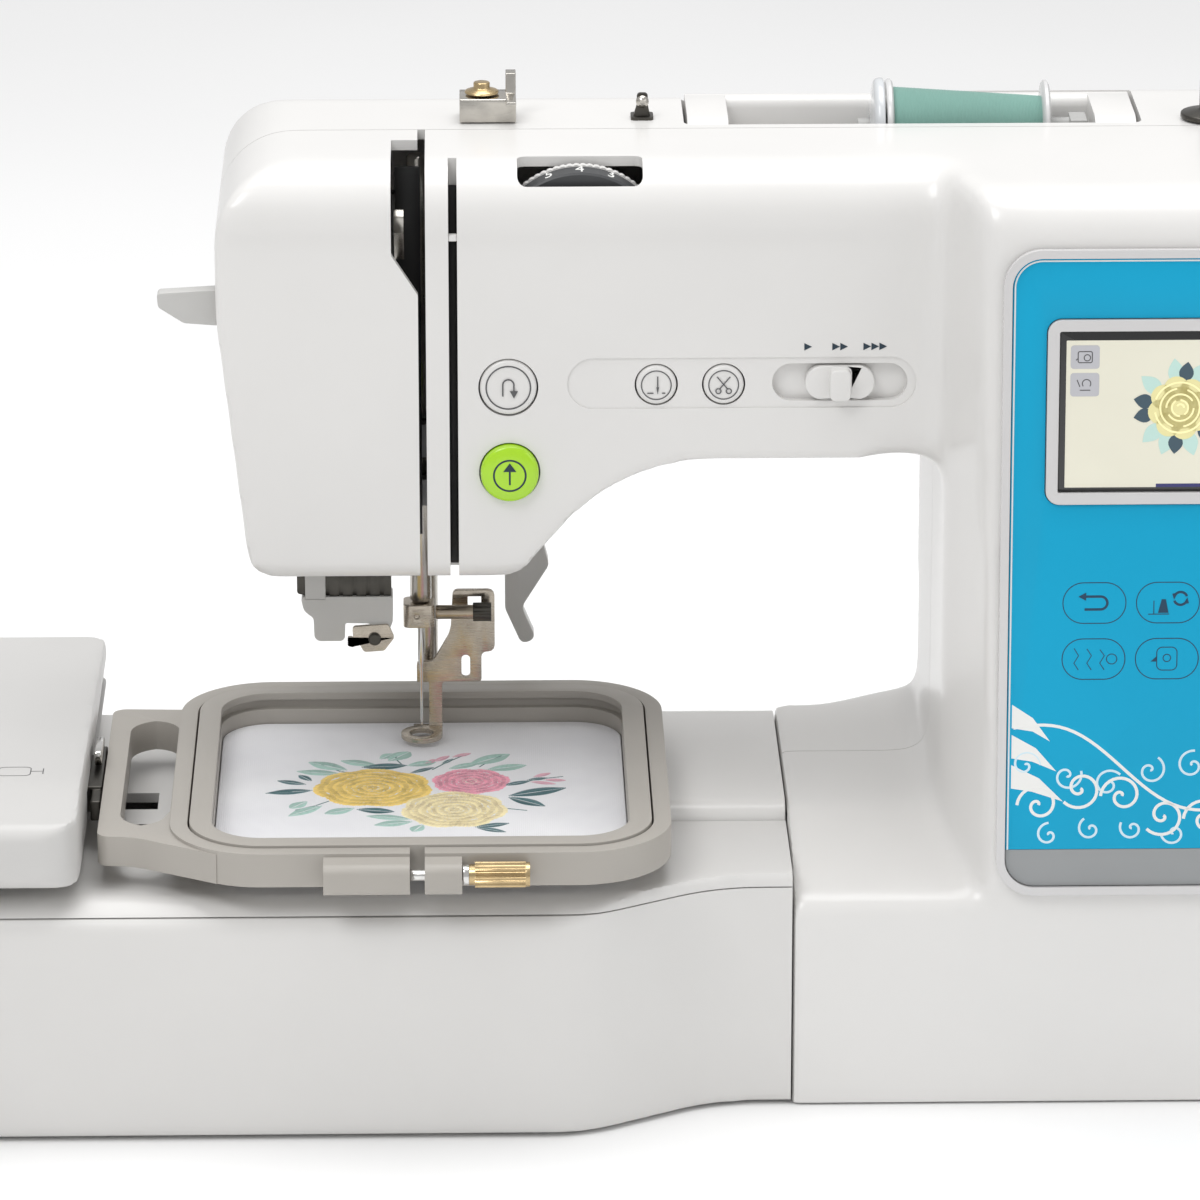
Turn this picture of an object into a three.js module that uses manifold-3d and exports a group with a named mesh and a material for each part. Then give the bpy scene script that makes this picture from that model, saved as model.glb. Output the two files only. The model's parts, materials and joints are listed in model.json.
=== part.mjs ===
// A home embroidery machine with its embroidery unit and a 100 mm hoop, as an assembly of separate
// pieces.
// Millimetres, +Z up, +X to the operator's right, +Y away from the operator.
// Everything is placed from the needle: its axis is X = 0, Y = 0, and the table is Z = 0.
// The last lines move the whole machine so that its origin is the middle of its footprint.

import * as THREE from "three";
import { mergeVertices } from "three/addons/utils/BufferGeometryUtils.js";
import Module from "manifold-3d";

const wasm = await Module();
wasm.setup();

// ---------------------------------------------------------------- driving sizes

const wall = 3; // casing wall
const gap = 0.4; // between two pieces that meet
const running = 0.5; // round a piece that turns or slides
const footHeight = 3; // rubber feet lift the casings off the table
const arcSteps = 6; // facets of a quarter turn on a casing edge

const head = { left: -58, bottom: 147, waist: 226, taper: 9 };
const arm = { front: -50, back: 50, top: 270, underside: 183, faceStep: 1.3, stepHeight: 250 };
const column = { left: 152, right: 296, front: -93, lean: 13, shoulder: 166, back: 62 };
const bed = { top: 77, front: -48, back: 39, left: -66, lip: 57 };
const base = { left: 107.4, back: 85 };
const parting = -2; // Y of the seam between the front and the rear cover

const unit = { left: -225, right: 107, front: -117, back: 58, top: 72, seam: 68, swell: 45 };
const takeUpSlot = { left: -7.4, right: 2.4, narrow: 0.2, foot: 239, back: -14 };
const threadGroove = { left: 9, right: 11.5, depth: 16 };
const spoolTray = { left: 78, right: 212, front: 2, back: 42.5, floor: 247 };

const handle = {
  side: 12, clear: 1.2, pivotY: 12, pivotZ: 262, boss: 8,
  gripFront: 33.8, gripBottom: 258, pinRadius: 3, pinLength: 1.8,
};

const shaft = { y: 0, z: 232, radius: 4, left: 8, crankRadius: 16.5, pulleyRadius: 20 };
const belt = { left: 271, width: 9, thickness: 1.6 };
const motor = { y: -34, z: 46, radius: 20, left: 205, length: 58, pulleyRadius: 8 };
const frame = { front: 26, thickness: 5, top: 243, underside: 198, armFloor: 40 };

const takeUp = {
  pivotY: 14, pivotZ: 214, reach: 58, left: -6.7, right: -3.9, tilt: 38, pinRadius: 2, pinEnd: 30,
};
const needleBar = { radius: 3.2, top: 262, bottom: 125, stroke: 26.5 };
const leverPivot = { x: 24, z: 168, radius: 2.5 };
const presserBar = { x: 2, y: 13, radius: 3, top: 200, bottom: 100 };
const hook = { y: -17.5, radius: 15.5, bottom: 47, top: 63, shaftRadius: 3 };
const hoop = { y: -44.5, halfWidth: 72, halfDepth: 74.5, corner: 27, bottom: 79, top: 89, rim: 5 };
const hoopSlot = 0.6; // all round, between the two hoops
const innerRim = 6.4;
const clothThickness = 0.8;
const carriage = { left: -173, right: -97, front: -120, back: 70, bottom: 78, top: 100 };
const holder = { y: -45, halfLength: 14, left: -104, right: -93, bottom: 80, top: 88 };

const panel = { width: 116, height: 190, corner: 11, foot: 65.5, rim: 2.4, thickness: 1.5 };
const screen = { margin: 16, height: 47, middle: 143, frame: 3.4 }; // margin: to each side of the panel
const spool = { y: 17.5, z: 265, left: 137.5, right: 186, bigRadius: 12, smallRadius: 8,
  capRadius: 14.5 };

// ---------------------------------------------------------------- materials

function finish(colour, roughness, metalness) {
  return new THREE.MeshStandardMaterial({ color: colour, roughness, metalness });
}

const whitePlastic = finish(0xe9e8e6, 0.35, 0);
const greyPlastic = finish(0xbdb9b1, 0.5, 0);
const darkPlastic = finish(0x2b2b2c, 0.5, 0);
const rubber = finish(0x3a3a3a, 0.9, 0);
const bluePanel = finish(0x10a3c8, 0.35, 0);
const silverPlastic = finish(0xb4b2b0, 0.35, 0.2);
const greenLens = finish(0xa6dc10, 0.3, 0);
const glass = finish(0xe6e3d2, 0.15, 0);
const steel = finish(0xb8b4aa, 0.3, 1);
const castAlloy = finish(0x8e9092, 0.55, 0.9);
const brass = finish(0xb79a62, 0.3, 1);
const circuitGreen = finish(0x1f5b3a, 0.6, 0);
const thread = finish(0x7fb0a5, 0.8, 0);
const cloth = finish(0xeeecea, 0.95, 0);

// ---------------------------------------------------------------- solids

// A closed geometry as a manifold-3d solid, for the cuts and joins.
function solidOf(geometry) {
  geometry.deleteAttribute("normal");
  geometry.deleteAttribute("uv");
  const merged = mergeVertices(geometry, 1e-4);
  const index = merged.index.array;
  const triangles = [];
  for (let i = 0; i < index.length; i += 3) {
    const [a, b, c] = index.slice(i, i + 3);
    // those on a turned piece's axis close up
    if (a !== b && b !== c && c !== a) triangles.push(a, b, c);
  }
  return new wasm.Manifold(
    new wasm.Mesh({
      numProp: 3,
      vertProperties: merged.attributes.position.array,
      triVerts: new Uint32Array(triangles),
    }),
  );
}

function geometryOf(solid) {
  const mesh = solid.getMesh();
  const geometry = new THREE.BufferGeometry();
  geometry.setAttribute("position", new THREE.BufferAttribute(mesh.vertProperties, 3));
  geometry.setIndex(new THREE.BufferAttribute(mesh.triVerts, 1));
  geometry.computeVertexNormals();
  return geometry;
}

function join(first, ...others) {
  return others.reduce((all, one) => all.add(one), first);
}

function cut(first, ...others) {
  return others.reduce((left, one) => left.subtract(one), first);
}

function block(x0, x1, y0, y1, z0, z1) {
  const geometry = new THREE.BoxGeometry(x1 - x0, y1 - y0, z1 - z0);
  geometry.translate((x0 + x1) / 2, (y0 + y1) / 2, (z0 + z1) / 2);
  return solidOf(geometry);
}

// Corners [u, v, radius] of an outline, rounded by arcs.
function roundOutline(corners, steps = arcSteps) {
  const points = [];
  corners.forEach(([u, v, radius = 0], i) => {
    const before = corners[(i + corners.length - 1) % corners.length];
    const after = corners[(i + 1) % corners.length];
    const corner = new THREE.Vector2(u, v);
    const back = new THREE.Vector2(before[0] - u, before[1] - v).normalize();
    const ahead = new THREE.Vector2(after[0] - u, after[1] - v).normalize();
    const half = Math.acos(THREE.MathUtils.clamp(back.dot(ahead), -1, 1)) / 2;
    const turn = Math.PI - 2 * half;
    if (radius < 0.01 || turn < 0.01) {
      points.push(corner);
      return;
    }
    const centre = corner.clone().addScaledVector(back.clone().add(ahead).normalize(),
      radius / Math.sin(half));
    const start = corner.clone().addScaledVector(back, radius / Math.tan(half)).sub(centre);
    const side = Math.sign(back.cross(ahead)) * -1;
    const count = Math.max(1, Math.round((steps * turn) / (Math.PI / 2)));
    for (let k = 0; k <= count; k++)
      points.push(start.clone().rotateAround(new THREE.Vector2(),
        (side * turn * k) / count).add(centre));
  });
  return points;
}

function anticlockwise(corners) {
  const points = corners.map(([u, v]) => new THREE.Vector2(u, v));
  return THREE.ShapeUtils.isClockWise(points) ? [...corners].reverse() : corners;
}

// The same corners moved inwards by a distance, with their radii kept concentric.
function inset(outline, distance) {
  const corners = anticlockwise(outline);
  return corners.map(([u, v, radius = 0], i) => {
    const before = corners[(i + corners.length - 1) % corners.length];
    const after = corners[(i + 1) % corners.length];
    const a = new THREE.Vector2(u - before[0], v - before[1]).normalize();
    const b = new THREE.Vector2(after[0] - u, after[1] - v).normalize();
    const bend = a.cross(b);
    const shift = new THREE.Vector2(-a.y - b.y, a.x + b.x).multiplyScalar(distance / (1 + a.dot(b)));
    return [u + shift.x, v + shift.y, Math.max(0, radius - Math.sign(bend) * distance)];
  });
}

const axes = {
  x: [new THREE.Vector3(0, 1, 0), new THREE.Vector3(0, 0, 1), new THREE.Vector3(1, 0, 0)],
  y: [new THREE.Vector3(1, 0, 0), new THREE.Vector3(0, 0, 1), new THREE.Vector3(0, -1, 0)],
  z: [new THREE.Vector3(1, 0, 0), new THREE.Vector3(0, 1, 0), new THREE.Vector3(0, 0, 1)],
};

// An outline drawn across an axis and stretched along it: (Y, Z) for x, (X, Z) for y and (X, Y) for z.
function prism(axis, points, from, to) {
  const geometry = new THREE.ExtrudeGeometry(new THREE.Shape(points), { depth: to - from,
    bevelEnabled: false });
  geometry.translate(0, 0, axis === "y" ? -to : from);
  geometry.applyMatrix4(new THREE.Matrix4().makeBasis(...axes[axis]));
  return solidOf(geometry);
}

function roundPrism(axis, corners, from, to, steps) {
  return prism(axis, roundOutline(corners, steps), from, to);
}

// A turned piece: [radius, distance] pairs along an axis through (u, v), the two coordinates across it.
function turned(axis, u, v, profile, sides = 24) {
  const points = profile.map(([radius, along]) => new THREE.Vector2(radius, along));
  const geometry = new THREE.LatheGeometry(points, sides);
  geometry.rotateX(Math.PI / 2); // the lathe turns about Y: lay its axis along Z
  const [first, second, along] = axes[axis];
  geometry.applyMatrix4(new THREE.Matrix4().makeBasis(first, second, along));
  geometry.translate(...first.clone().multiplyScalar(u).addScaledVector(second, v).toArray());
  return solidOf(geometry);
}

// A plain cylinder. Along y the distances are given in Y, so they are turned round here.
function rod(axis, u, v, radius, from, to, sides = 24) {
  const [low, high] = axis === "y" ? [-to, -from] : [from, to];
  const profile = [
    [0, low],
    [radius, low],
    [radius, high],
    [0, high],
  ];
  return turned(axis, u, v, profile, sides);
}

function box4(u0, u1, v0, v1, radius) {
  return [
    [u0, v0, radius],
    [u1, v0, radius],
    [u1, v1, radius],
    [u0, v1, radius],
  ];
}

function ring(axis, corners, rim, from, to, steps) {
  const outer = roundPrism(axis, corners, from, to, steps);
  return cut(outer, roundPrism(axis, inset(corners, rim), from - 1, to + 1, steps));
}

function piece(name, shape, material) {
  const mesh = new THREE.Mesh(shape.isBufferGeometry ? shape : geometryOf(shape), material);
  mesh.name = name;
  return mesh;
}

const machine = new THREE.Group();

// ---------------------------------------------------------------- casings of the machine

// Head and arm seen from the front: the left side tapers below the waist and the throat is one
// long curve.
const frontOutline = [
  [head.left, arm.top, 15],
  [head.left, head.waist, 60],
  [head.left + head.taper, head.bottom, 9],
  [head.left + 86, head.bottom, 10],
  [head.left + 116, arm.underside, 58],
  [column.left, arm.underside, 6],
  [column.left, bed.top, 14],
  [base.left - 30, bed.top, 0],
  [base.left - 30, footHeight, 0],
  [column.right, footHeight, 0],
  [column.right, arm.top, 16],
];

const armSection = [
  [arm.front + arm.faceStep, head.bottom, 5],
  [arm.back, head.bottom, 8],
  [arm.back, arm.top, 18],
  [arm.front, arm.top, 16],
  [arm.front, arm.stepHeight + 1, 0],
  [arm.front + arm.faceStep, arm.stepHeight, 0],
];

const columnSection = [
  [column.front, footHeight, 2],
  [column.back, footHeight, 2],
  [column.back - 6, arm.top, 18],
  [column.front + column.lean, arm.top, 15],
  [column.front, 52, 60],
];

const columnPlan = [
  [column.left, arm.front - 2, 25],
  [column.shoulder, column.front - 6, 12],
  [column.right, column.front - 6, 18],
  [column.right, column.back + 4, 14],
  [column.left, column.back + 4, 8],
];

const baseSection = [
  [column.front, footHeight, 2],
  [base.back, footHeight, 2],
  [base.back - 6, 66, 12],
  [bed.lip, bed.top, 10],
  [bed.front, bed.top, 12],
  [column.front, 63, 7],
];

const basePlan = [
  [base.left, column.front - 6, 0],
  [column.right, column.front - 6, 18],
  [column.right, base.back, 18],
  [176, base.back, 30],
  [column.left - 12, bed.lip, 30],
  [base.left, bed.back + 1, 0],
];

// The body's outer form for distance 0, or its cavity for the wall's thickness.
function bodyForm(distance) {
  const shrink = (corners) => inset(corners, distance);
  const low = footHeight + distance;
  const silhouette = roundPrism("y", shrink(frontOutline), column.front - 10, base.back + 10);
  const armBar = roundPrism("x", shrink(armSection), head.left - 5, column.shoulder + 6 - distance);
  const columnBar = roundPrism("x", shrink(columnSection), column.left - 5, column.right + 5);
  const pillar = columnBar.intersect(roundPrism("z", shrink(columnPlan), low - distance, arm.top + 5));
  const baseBar = roundPrism("x", shrink(baseSection), base.left - 5, column.right + 5);
  const footing = baseBar.intersect(roundPrism("z", shrink(basePlan), low - distance, arm.top));
  return join(armBar, pillar, footing).intersect(silhouette);
}

const trayOutline = [
  [spoolTray.left, spoolTray.front, 3],
  [spoolTray.right, spoolTray.front, 3],
  [spoolTray.right, spoolTray.back, 3],
  [spoolTray.left, spoolTray.back, 3],
];
const tray = roundPrism("z", trayOutline, spoolTray.floor, arm.top + 5, 3);
const trayLining = roundPrism("z", inset(trayOutline, -wall), spoolTray.floor - wall, arm.top + 6, 3);

const grooveBack = arm.front + threadGroove.depth;
const groove = block(
  threadGroove.left, threadGroove.right, arm.front - 5, grooveBack, head.bottom - 5, arm.top + 5,
);
const grooveLining = block(
  threadGroove.left - wall, threadGroove.right + wall, arm.front - 5, grooveBack + wall,
  head.bottom - 5, arm.top + 5,
);

const headOpening = block(-40, 15, -27, 32, head.bottom - 5, head.bottom + 8);

const inletPocket = { y: 30, z: 30, halfLength: 13, halfHeight: 10 };
const switchPocket = { y: 58, z: 30, halfLength: 7, halfHeight: 10 };
function pocket(place, depth, grow = 0) {
  const { y, z, halfLength, halfHeight } = place;
  const [reachY, reachZ] = [halfLength + grow, halfHeight + grow];
  return block(column.right - depth - grow, column.right + 5, y - reachY, y + reachY, z - reachZ,
    z + reachZ);
}
const pocketDepth = 10;

const cavity = cut(
  bodyForm(wall),
  trayLining,
  grooveLining,
  pocket(inletPocket, pocketDepth, wall),
  pocket(switchPocket, pocketDepth, wall),
);
const underside = roundPrism("z", inset(basePlan, wall), footHeight - 5, footHeight + wall + 2)
  .intersect(block(base.left - 5, 400, column.front + wall, base.back - wall, -5, 20));
const freeArmDoor = block(
  base.left - 5, base.left + wall + 5, bed.front + gap, bed.back - gap, footHeight + 2, bed.top - wall,
);
const leverHole = rod("y", leverPivot.x, leverPivot.z, leverPivot.radius + running,
  arm.back - wall - 2, arm.back + 5);
const handleSockets = rod(
  "x", handle.pivotY, handle.pivotZ, handle.pinRadius + running,
  spoolTray.left - handle.pinLength, spoolTray.right + handle.pinLength, 16,
);
const shaftHole = rod("x", shaft.y, shaft.z, shaft.radius + 3, column.right - 10, column.right + 5);
const casing = cut(
  bodyForm(0), cavity, underside, tray, groove, headOpening, freeArmDoor, shaftHole,
  pocket(inletPocket, pocketDepth), pocket(switchPocket, pocketDepth), leverHole, handleSockets,
);

// Round buttons, the slider and the thumb wheel reach through the front of the arm.
const faceY = arm.front + arm.faceStep;
const buttons = {
  reverse_button: { x: 26, z: 205.5, radius: 8.2, proud: 0.5, material: whitePlastic },
  start_button: { x: 26.3, z: 180, radius: 8.4, proud: 2.4, material: greenLens },
  needle_button: { x: 68.6, z: 206, radius: 5.8, proud: 0.5, material: whitePlastic },
  cutter_button: { x: 88, z: 206, radius: 5.8, proud: 0.5, material: whitePlastic },
};
const slider = { x: 121.5, z: 206.5, travel: 9, halfWidth: 10, halfHeight: 5, slotHeight: 5.6 };
const dial = { x: 46.8, z: 243, radius: 25.5, front: -44, back: -35, halfWindow: 18, axle: 2.5 };
const dialWindow = block(
  dial.x - dial.halfWindow, dial.x + dial.halfWindow, dial.front - 2, dial.back + 2, arm.top - 15,
  arm.top + 5,
);
const sliderSlot = roundPrism(
  "y",
  box4(
    slider.x - slider.travel - slider.halfWidth - running,
    slider.x + slider.travel + slider.halfWidth + running,
    slider.z - slider.slotHeight,
    slider.z + slider.slotHeight,
    slider.slotHeight - 0.2,
  ),
  arm.front - 5, faceY + wall + 1,
);
const buttonHoles = Object.values(buttons).map(({ x, z, radius }) =>
  rod("y", x, z, radius + running, arm.front - 5, faceY + wall + 1),
);

const faceSide = takeUpSlot.narrow; // right edge of the face cover
const farAway = 500;
const frontHalf = block(takeUpSlot.right, farAway, -farAway, parting - gap / 2, -5, farAway);
const rearHalf = block(-farAway, farAway, parting + gap / 2, farAway, -5, farAway);
const faceHalf = block(-farAway, faceSide, -farAway, parting - gap / 2, -5, farAway);

machine.add(
  piece("front_cover", cut(casing.intersect(frontHalf), dialWindow, sliderSlot, ...buttonHoles),
    whitePlastic),
);

const vents = Array.from({ length: 7 }, (_, i) =>
  block(column.left + 40 + i * 10, column.left + 43 + i * 10, 40, base.back + 5, 100, 150),
);
machine.add(piece("rear_cover", cut(casing.intersect(rearHalf), ...vents), whitePlastic));

const threader = { y: -30, z: 226, halfWidth: 3, travel: 15, stem: 5, tab: 15 };
const takeUpOpening = block(
  takeUpSlot.left, takeUpSlot.right, arm.front - 5, takeUpSlot.back, takeUpSlot.foot, arm.top + 5,
);
const threaderSlot = block(
  head.left - 5, head.left + 12, threader.y - threader.halfWidth, threader.y + threader.halfWidth,
  threader.z - threader.travel - threader.stem - 1, threader.z + threader.stem + 1,
);
machine.add(piece("face_cover", cut(casing.intersect(faceHalf), takeUpOpening, threaderSlot),
  whitePlastic));

const bottomPlan = roundPrism("z", inset(basePlan, wall + gap), footHeight, footHeight + 2.5)
  .intersect(block(base.left, 400, column.front + wall + gap, base.back - wall - gap, 0, 20));
machine.add(piece("bottom_plate", bottomPlan, greyPlastic));

// ---------------------------------------------------------------- free arm, needle plate and hook

const armSleeve = [
  [bed.front, footHeight + 9, 8],
  [bed.back, footHeight + 9, 8],
  [bed.back, bed.top, 5],
  [bed.front, bed.top, 6],
];
const plateSize = { left: -34, right: 34, front: -37, back: 24, thickness: 1.2, rest: 2 };
const coverSize = { left: -17, right: 17, front: -37, back: -13 };
const needleHole = block(-3.6, 3.6, -1.6, 1.6, bed.top - 5, bed.top + 5);

const sleeveOuter = roundPrism("x", armSleeve, bed.left, base.left - gap, 4);
const sleeveInner = roundPrism("x", inset(armSleeve, wall), bed.left + wall, base.left + 5, 4);
const plateOpening = block(
  plateSize.left + plateSize.rest, plateSize.right - plateSize.rest, plateSize.front + plateSize.rest,
  plateSize.back - plateSize.rest, bed.top - wall - 2, bed.top + 5,
);
machine.add(piece("free_arm_cover", cut(sleeveOuter, sleeveInner, plateOpening), whitePlastic));

const plateBottom = bed.top + gap / 2;
const plateTop = plateBottom + plateSize.thickness;
const coverGap = block(
  coverSize.left - gap, coverSize.right + gap, coverSize.front - 5, coverSize.back + gap, 60, 100,
);
const plateBlank = block(plateSize.left, plateSize.right, plateSize.front, plateSize.back,
  plateBottom, plateTop);
machine.add(piece("needle_plate", cut(plateBlank, coverGap, needleHole), steel));
const coverBlank = block(coverSize.left, coverSize.right, coverSize.front, coverSize.back,
  plateBottom, plateTop);
machine.add(piece("bobbin_cover", coverBlank, glass));

const hookCup = turned("z", 0, hook.y, [
  [0, hook.bottom - 14],
  [hook.shaftRadius, hook.bottom - 14],
  [hook.shaftRadius, hook.bottom],
  [hook.radius, hook.bottom],
  [hook.radius, hook.top],
  [hook.radius - 3, hook.top],
  [hook.radius - 3, hook.bottom + 3],
  [0, hook.bottom + 3],
]);
machine.add(piece("rotary_hook", hookCup, steel));
const bobbinRadius = hook.radius - 4.6;
const bobbinFloor = hook.bottom + 3 + gap;
const bobbinReel = turned("z", 0, hook.y, [
  [3, bobbinFloor],
  [bobbinRadius, bobbinFloor],
  [bobbinRadius, bobbinFloor + 1],
  [5, bobbinFloor + 1.5],
  [5, bobbinFloor + 9.5],
  [bobbinRadius, bobbinFloor + 10],
  [bobbinRadius, bobbinFloor + 11],
  [3, bobbinFloor + 11],
  [3, bobbinFloor],
]);
machine.add(piece("bobbin", bobbinReel, glass));

// ---------------------------------------------------------------- chassis, drive and electronics

const frameBack = frame.front + frame.thickness;
const cFrame = roundPrism(
  "y",
  [
    [-12, frame.top, 4],
    [-12, frame.underside - 42, 4],
    [leverPivot.x + 7, frame.underside - 42, 6],
    [leverPivot.x + 7, frame.underside, 6],
    [column.left + 52, frame.underside, 12],
    [column.left + 52, frame.armFloor, 12],
    [bed.left + 12, frame.armFloor, 3],
    [bed.left + 12, frame.armFloor - 22, 3],
    [column.right - 36, frame.armFloor - 22, 3],
    [column.right - 36, frame.top, 4],
  ],
  frame.front, frameBack, 3,
);
function boss(x0, x1, y0, z0, z1) {
  return block(x0, x1, y0, frame.front + 1, z0, z1);
}
const shaftBore = rod("x", shaft.y, shaft.z, shaft.radius + running, -60, 400);
const barBore = rod("z", 0, 0, needleBar.radius + running, 100, 300);
const presserBore = rod("z", presserBar.x, presserBar.y, presserBar.radius + running, 100, 300);
const hookBore = rod("z", 0, hook.y, hook.shaftRadius + running, 0, 100);
const hookBracket = block(-9, 9, hook.y - 8, frame.front + 1, frame.armFloor - 10, frame.armFloor - 2);
const hookRoom = block(-16, 16, -40, frame.front - 2, frame.armFloor - 2, 100);
const chassis = cut(
  join(
    cFrame,
    boss(24, 36, -10, takeUp.pivotZ - 6, shaft.z + 9),
    boss(dial.x - 6, dial.x + 6, -22, dial.z - 5, dial.z + 6),
    boss(column.right - 50, column.right - 38, -10, shaft.z - 9, shaft.z + 9),
    boss(-9, 9, -8, 172, 182),
    boss(-9, 9, -8, 157, 165),
    hookBracket,
  ),
  shaftBore, barBore, presserBore, hookBore, hookRoom,
  rod("x", takeUp.pivotY, takeUp.pivotZ, takeUp.pinRadius + running, 20, takeUp.pinEnd + gap, 16),
  rod("y", dial.x, dial.z, dial.axle + running, -30, -8, 20),
  rod("y", leverPivot.x, leverPivot.z, leverPivot.radius + running, 0, 60, 16),
);
machine.add(piece("chassis_frame", chassis, castAlloy));

const pulleyRoom = { from: belt.left - 1, to: belt.left + belt.width + 1 };
const shaftPiece = join(
  rod("x", shaft.y, shaft.z, shaft.radius, shaft.left, column.right + 12),
  rod("x", shaft.y, shaft.z, shaft.crankRadius, shaft.left, shaft.left + 6),
  rod("x", shaft.y, shaft.z, shaft.pulleyRadius, pulleyRoom.from + 1, pulleyRoom.to - 1, 32),
  rod("x", shaft.y, shaft.z + needleBar.stroke / 2, 2.5, shaft.left - 3.5, shaft.left + 1, 12),
);
machine.add(piece("main_shaft", shaftPiece, steel));

const wheelLeft = column.right + gap + 1;
const wheelProfile = [
  [shaft.radius + 0.3, wheelLeft],
  [23, wheelLeft],
  [27, wheelLeft + 3],
  [27, wheelLeft + 13],
  [24.5, wheelLeft + 16.5],
  [19, wheelLeft + 17.5],
  [17, wheelLeft + 15],
  [shaft.radius + 0.3, wheelLeft + 15],
  [shaft.radius + 0.3, wheelLeft],
];
machine.add(piece("handwheel", turned("x", shaft.y, shaft.z, wheelProfile, 48), whitePlastic));

machine.add(
  piece(
    "drive_motor",
    join(
      rod("x", motor.y, motor.z, motor.radius, motor.left, motor.left + motor.length, 32),
      rod("x", motor.y, motor.z, 2.5, motor.left + motor.length - 1, motor.left + motor.length + 5, 16),
      block(motor.left + 6, motor.left + 16, motor.y - 15, motor.y + 15, footHeight + 3, motor.z - 10),
    ),
    castAlloy,
  ),
);
machine.add(
  piece(
    "motor_pulley",
    rod("x", motor.y, motor.z, motor.pulleyRadius, belt.left, belt.left + belt.width, 24),
    steel,
  ),
);

// The loop round two circles: straight runs between two arcs.
function loopRound(a, b, grow, steps = 14) {
  const along = Math.atan2(b.z - a.z, b.y - a.y);
  const lean = Math.acos((a.radius - b.radius) / Math.hypot(b.y - a.y, b.z - a.z));
  const points = [];
  for (let k = 0; k <= steps; k++) {
    const angle = along + lean + ((2 * Math.PI - 2 * lean) * k) / steps;
    points.push(new THREE.Vector2(a.y + (a.radius + grow) * Math.cos(angle),
      a.z + (a.radius + grow) * Math.sin(angle)));
  }
  for (let k = 0; k <= steps; k++) {
    const angle = along - lean + (2 * lean * k) / steps;
    points.push(new THREE.Vector2(b.y + (b.radius + grow) * Math.cos(angle),
      b.z + (b.radius + grow) * Math.sin(angle)));
  }
  return points;
}
const bigPulley = { y: shaft.y, z: shaft.z, radius: shaft.pulleyRadius };
const smallPulley = { y: motor.y, z: motor.z, radius: motor.pulleyRadius };
const beltLoop = cut(
  prism("x", loopRound(bigPulley, smallPulley, gap + belt.thickness), belt.left + 0.5,
    belt.left + belt.width - 0.5),
  prism("x", loopRound(bigPulley, smallPulley, gap), belt.left - 1, belt.left + belt.width + 1),
);
machine.add(piece("drive_belt", beltLoop, rubber));

const board = { left: column.left + 30, right: column.right - 30, bottom: 92, top: 180,
  front: -70, back: -68.4 };
function columnFaceY(z) {
  return column.front + (column.lean * (z - 52)) / (arm.top - 52);
}
const standoffs = [board.bottom + 6, board.top - 6].flatMap((z) =>
  [board.left + 6, board.right - 6].map((x) =>
    rod("y", x, z, 2.5, columnFaceY(z) + wall + gap + 0.3, board.front + 0.5, 12),
  ),
);
const boardSheet = block(board.left, board.right, board.front, board.back, board.bottom, board.top);
machine.add(piece("main_board", join(boardSheet, ...standoffs), circuitGreen));
const inletBlock = block(
  column.right - pocketDepth + gap, column.right - 1,
  inletPocket.y - inletPocket.halfLength + gap, inletPocket.y + inletPocket.halfLength - gap,
  inletPocket.z - inletPocket.halfHeight + gap, inletPocket.z + inletPocket.halfHeight - gap,
);
const inletSocket = block(
  column.right - 6, column.right + 1, inletPocket.y - 8, inletPocket.y + 8, inletPocket.z - 5,
  inletPocket.z + 5,
);
const contacts = [-3.5, 3.5].map((side) =>
  rod("x", inletPocket.y + side, inletPocket.z, 1.2, column.right - 7, column.right - 2, 12),
);
machine.add(piece("power_inlet", join(cut(inletBlock, inletSocket), ...contacts), darkPlastic));

const rocker = roundPrism(
  "y",
  [
    [column.right - 5, switchPocket.z - 8.4, 1],
    [column.right - 0.6, switchPocket.z - 8.4, 1],
    [column.right - 2.2, switchPocket.z, 0],
    [column.right + 1.4, switchPocket.z + 8.4, 1],
    [column.right - 5, switchPocket.z + 8.4, 1],
  ],
  switchPocket.y - switchPocket.halfLength + running,
  switchPocket.y + switchPocket.halfLength - running, 2,
);
machine.add(piece("power_switch", rocker, darkPlastic));

// ---------------------------------------------------------------- control panel

const leanAngle = Math.atan2(column.lean, arm.top - 52);
const panelGroup = new THREE.Group();
panelGroup.rotation.x = Math.PI / 2 - leanAngle;
panelGroup.position.set(
  (column.shoulder + column.right) / 2 - 7.5,
  column.front + (panel.foot - 52) * Math.tan(leanAngle) - 0.5,
  panel.foot,
);
machine.add(panelGroup);
const halfPanel = panel.width / 2;
const panelCorners = box4(-halfPanel, halfPanel, 0, panel.height, panel.corner);
const screenFoot = screen.middle - screen.height / 2;
const halfScreen = halfPanel - screen.margin;
const screenCorners = box4(-halfScreen, halfScreen, screenFoot, screenFoot + screen.height, 0.5);
const frameCorners = inset(screenCorners, -screen.frame);
frameCorners.forEach((corner) => (corner[2] = 4));

panelGroup.add(piece("panel_bezel", ring("z", panelCorners, panel.rim, 0, panel.thickness + 1),
  silverPlastic));
const overlayCorners = inset(panelCorners, panel.rim + gap);
panelGroup.add(
  piece(
    "panel_overlay",
    cut(
      roundPrism("z", overlayCorners, 0, panel.thickness),
      roundPrism("z", inset(frameCorners, -gap), -1, panel.thickness + 1, 4),
    ),
    bluePanel,
  ),
);
panelGroup.add(
  piece("lcd_frame", ring("z", frameCorners, screen.frame, 0, panel.thickness + 0.9, 4), silverPlastic),
);
panelGroup.add(
  piece("lcd_screen", roundPrism("z", inset(screenCorners, gap), 0, panel.thickness - 0.5, 2), glass),
);

// ---------------------------------------------------------------- buttons, slider and thumb wheel

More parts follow.
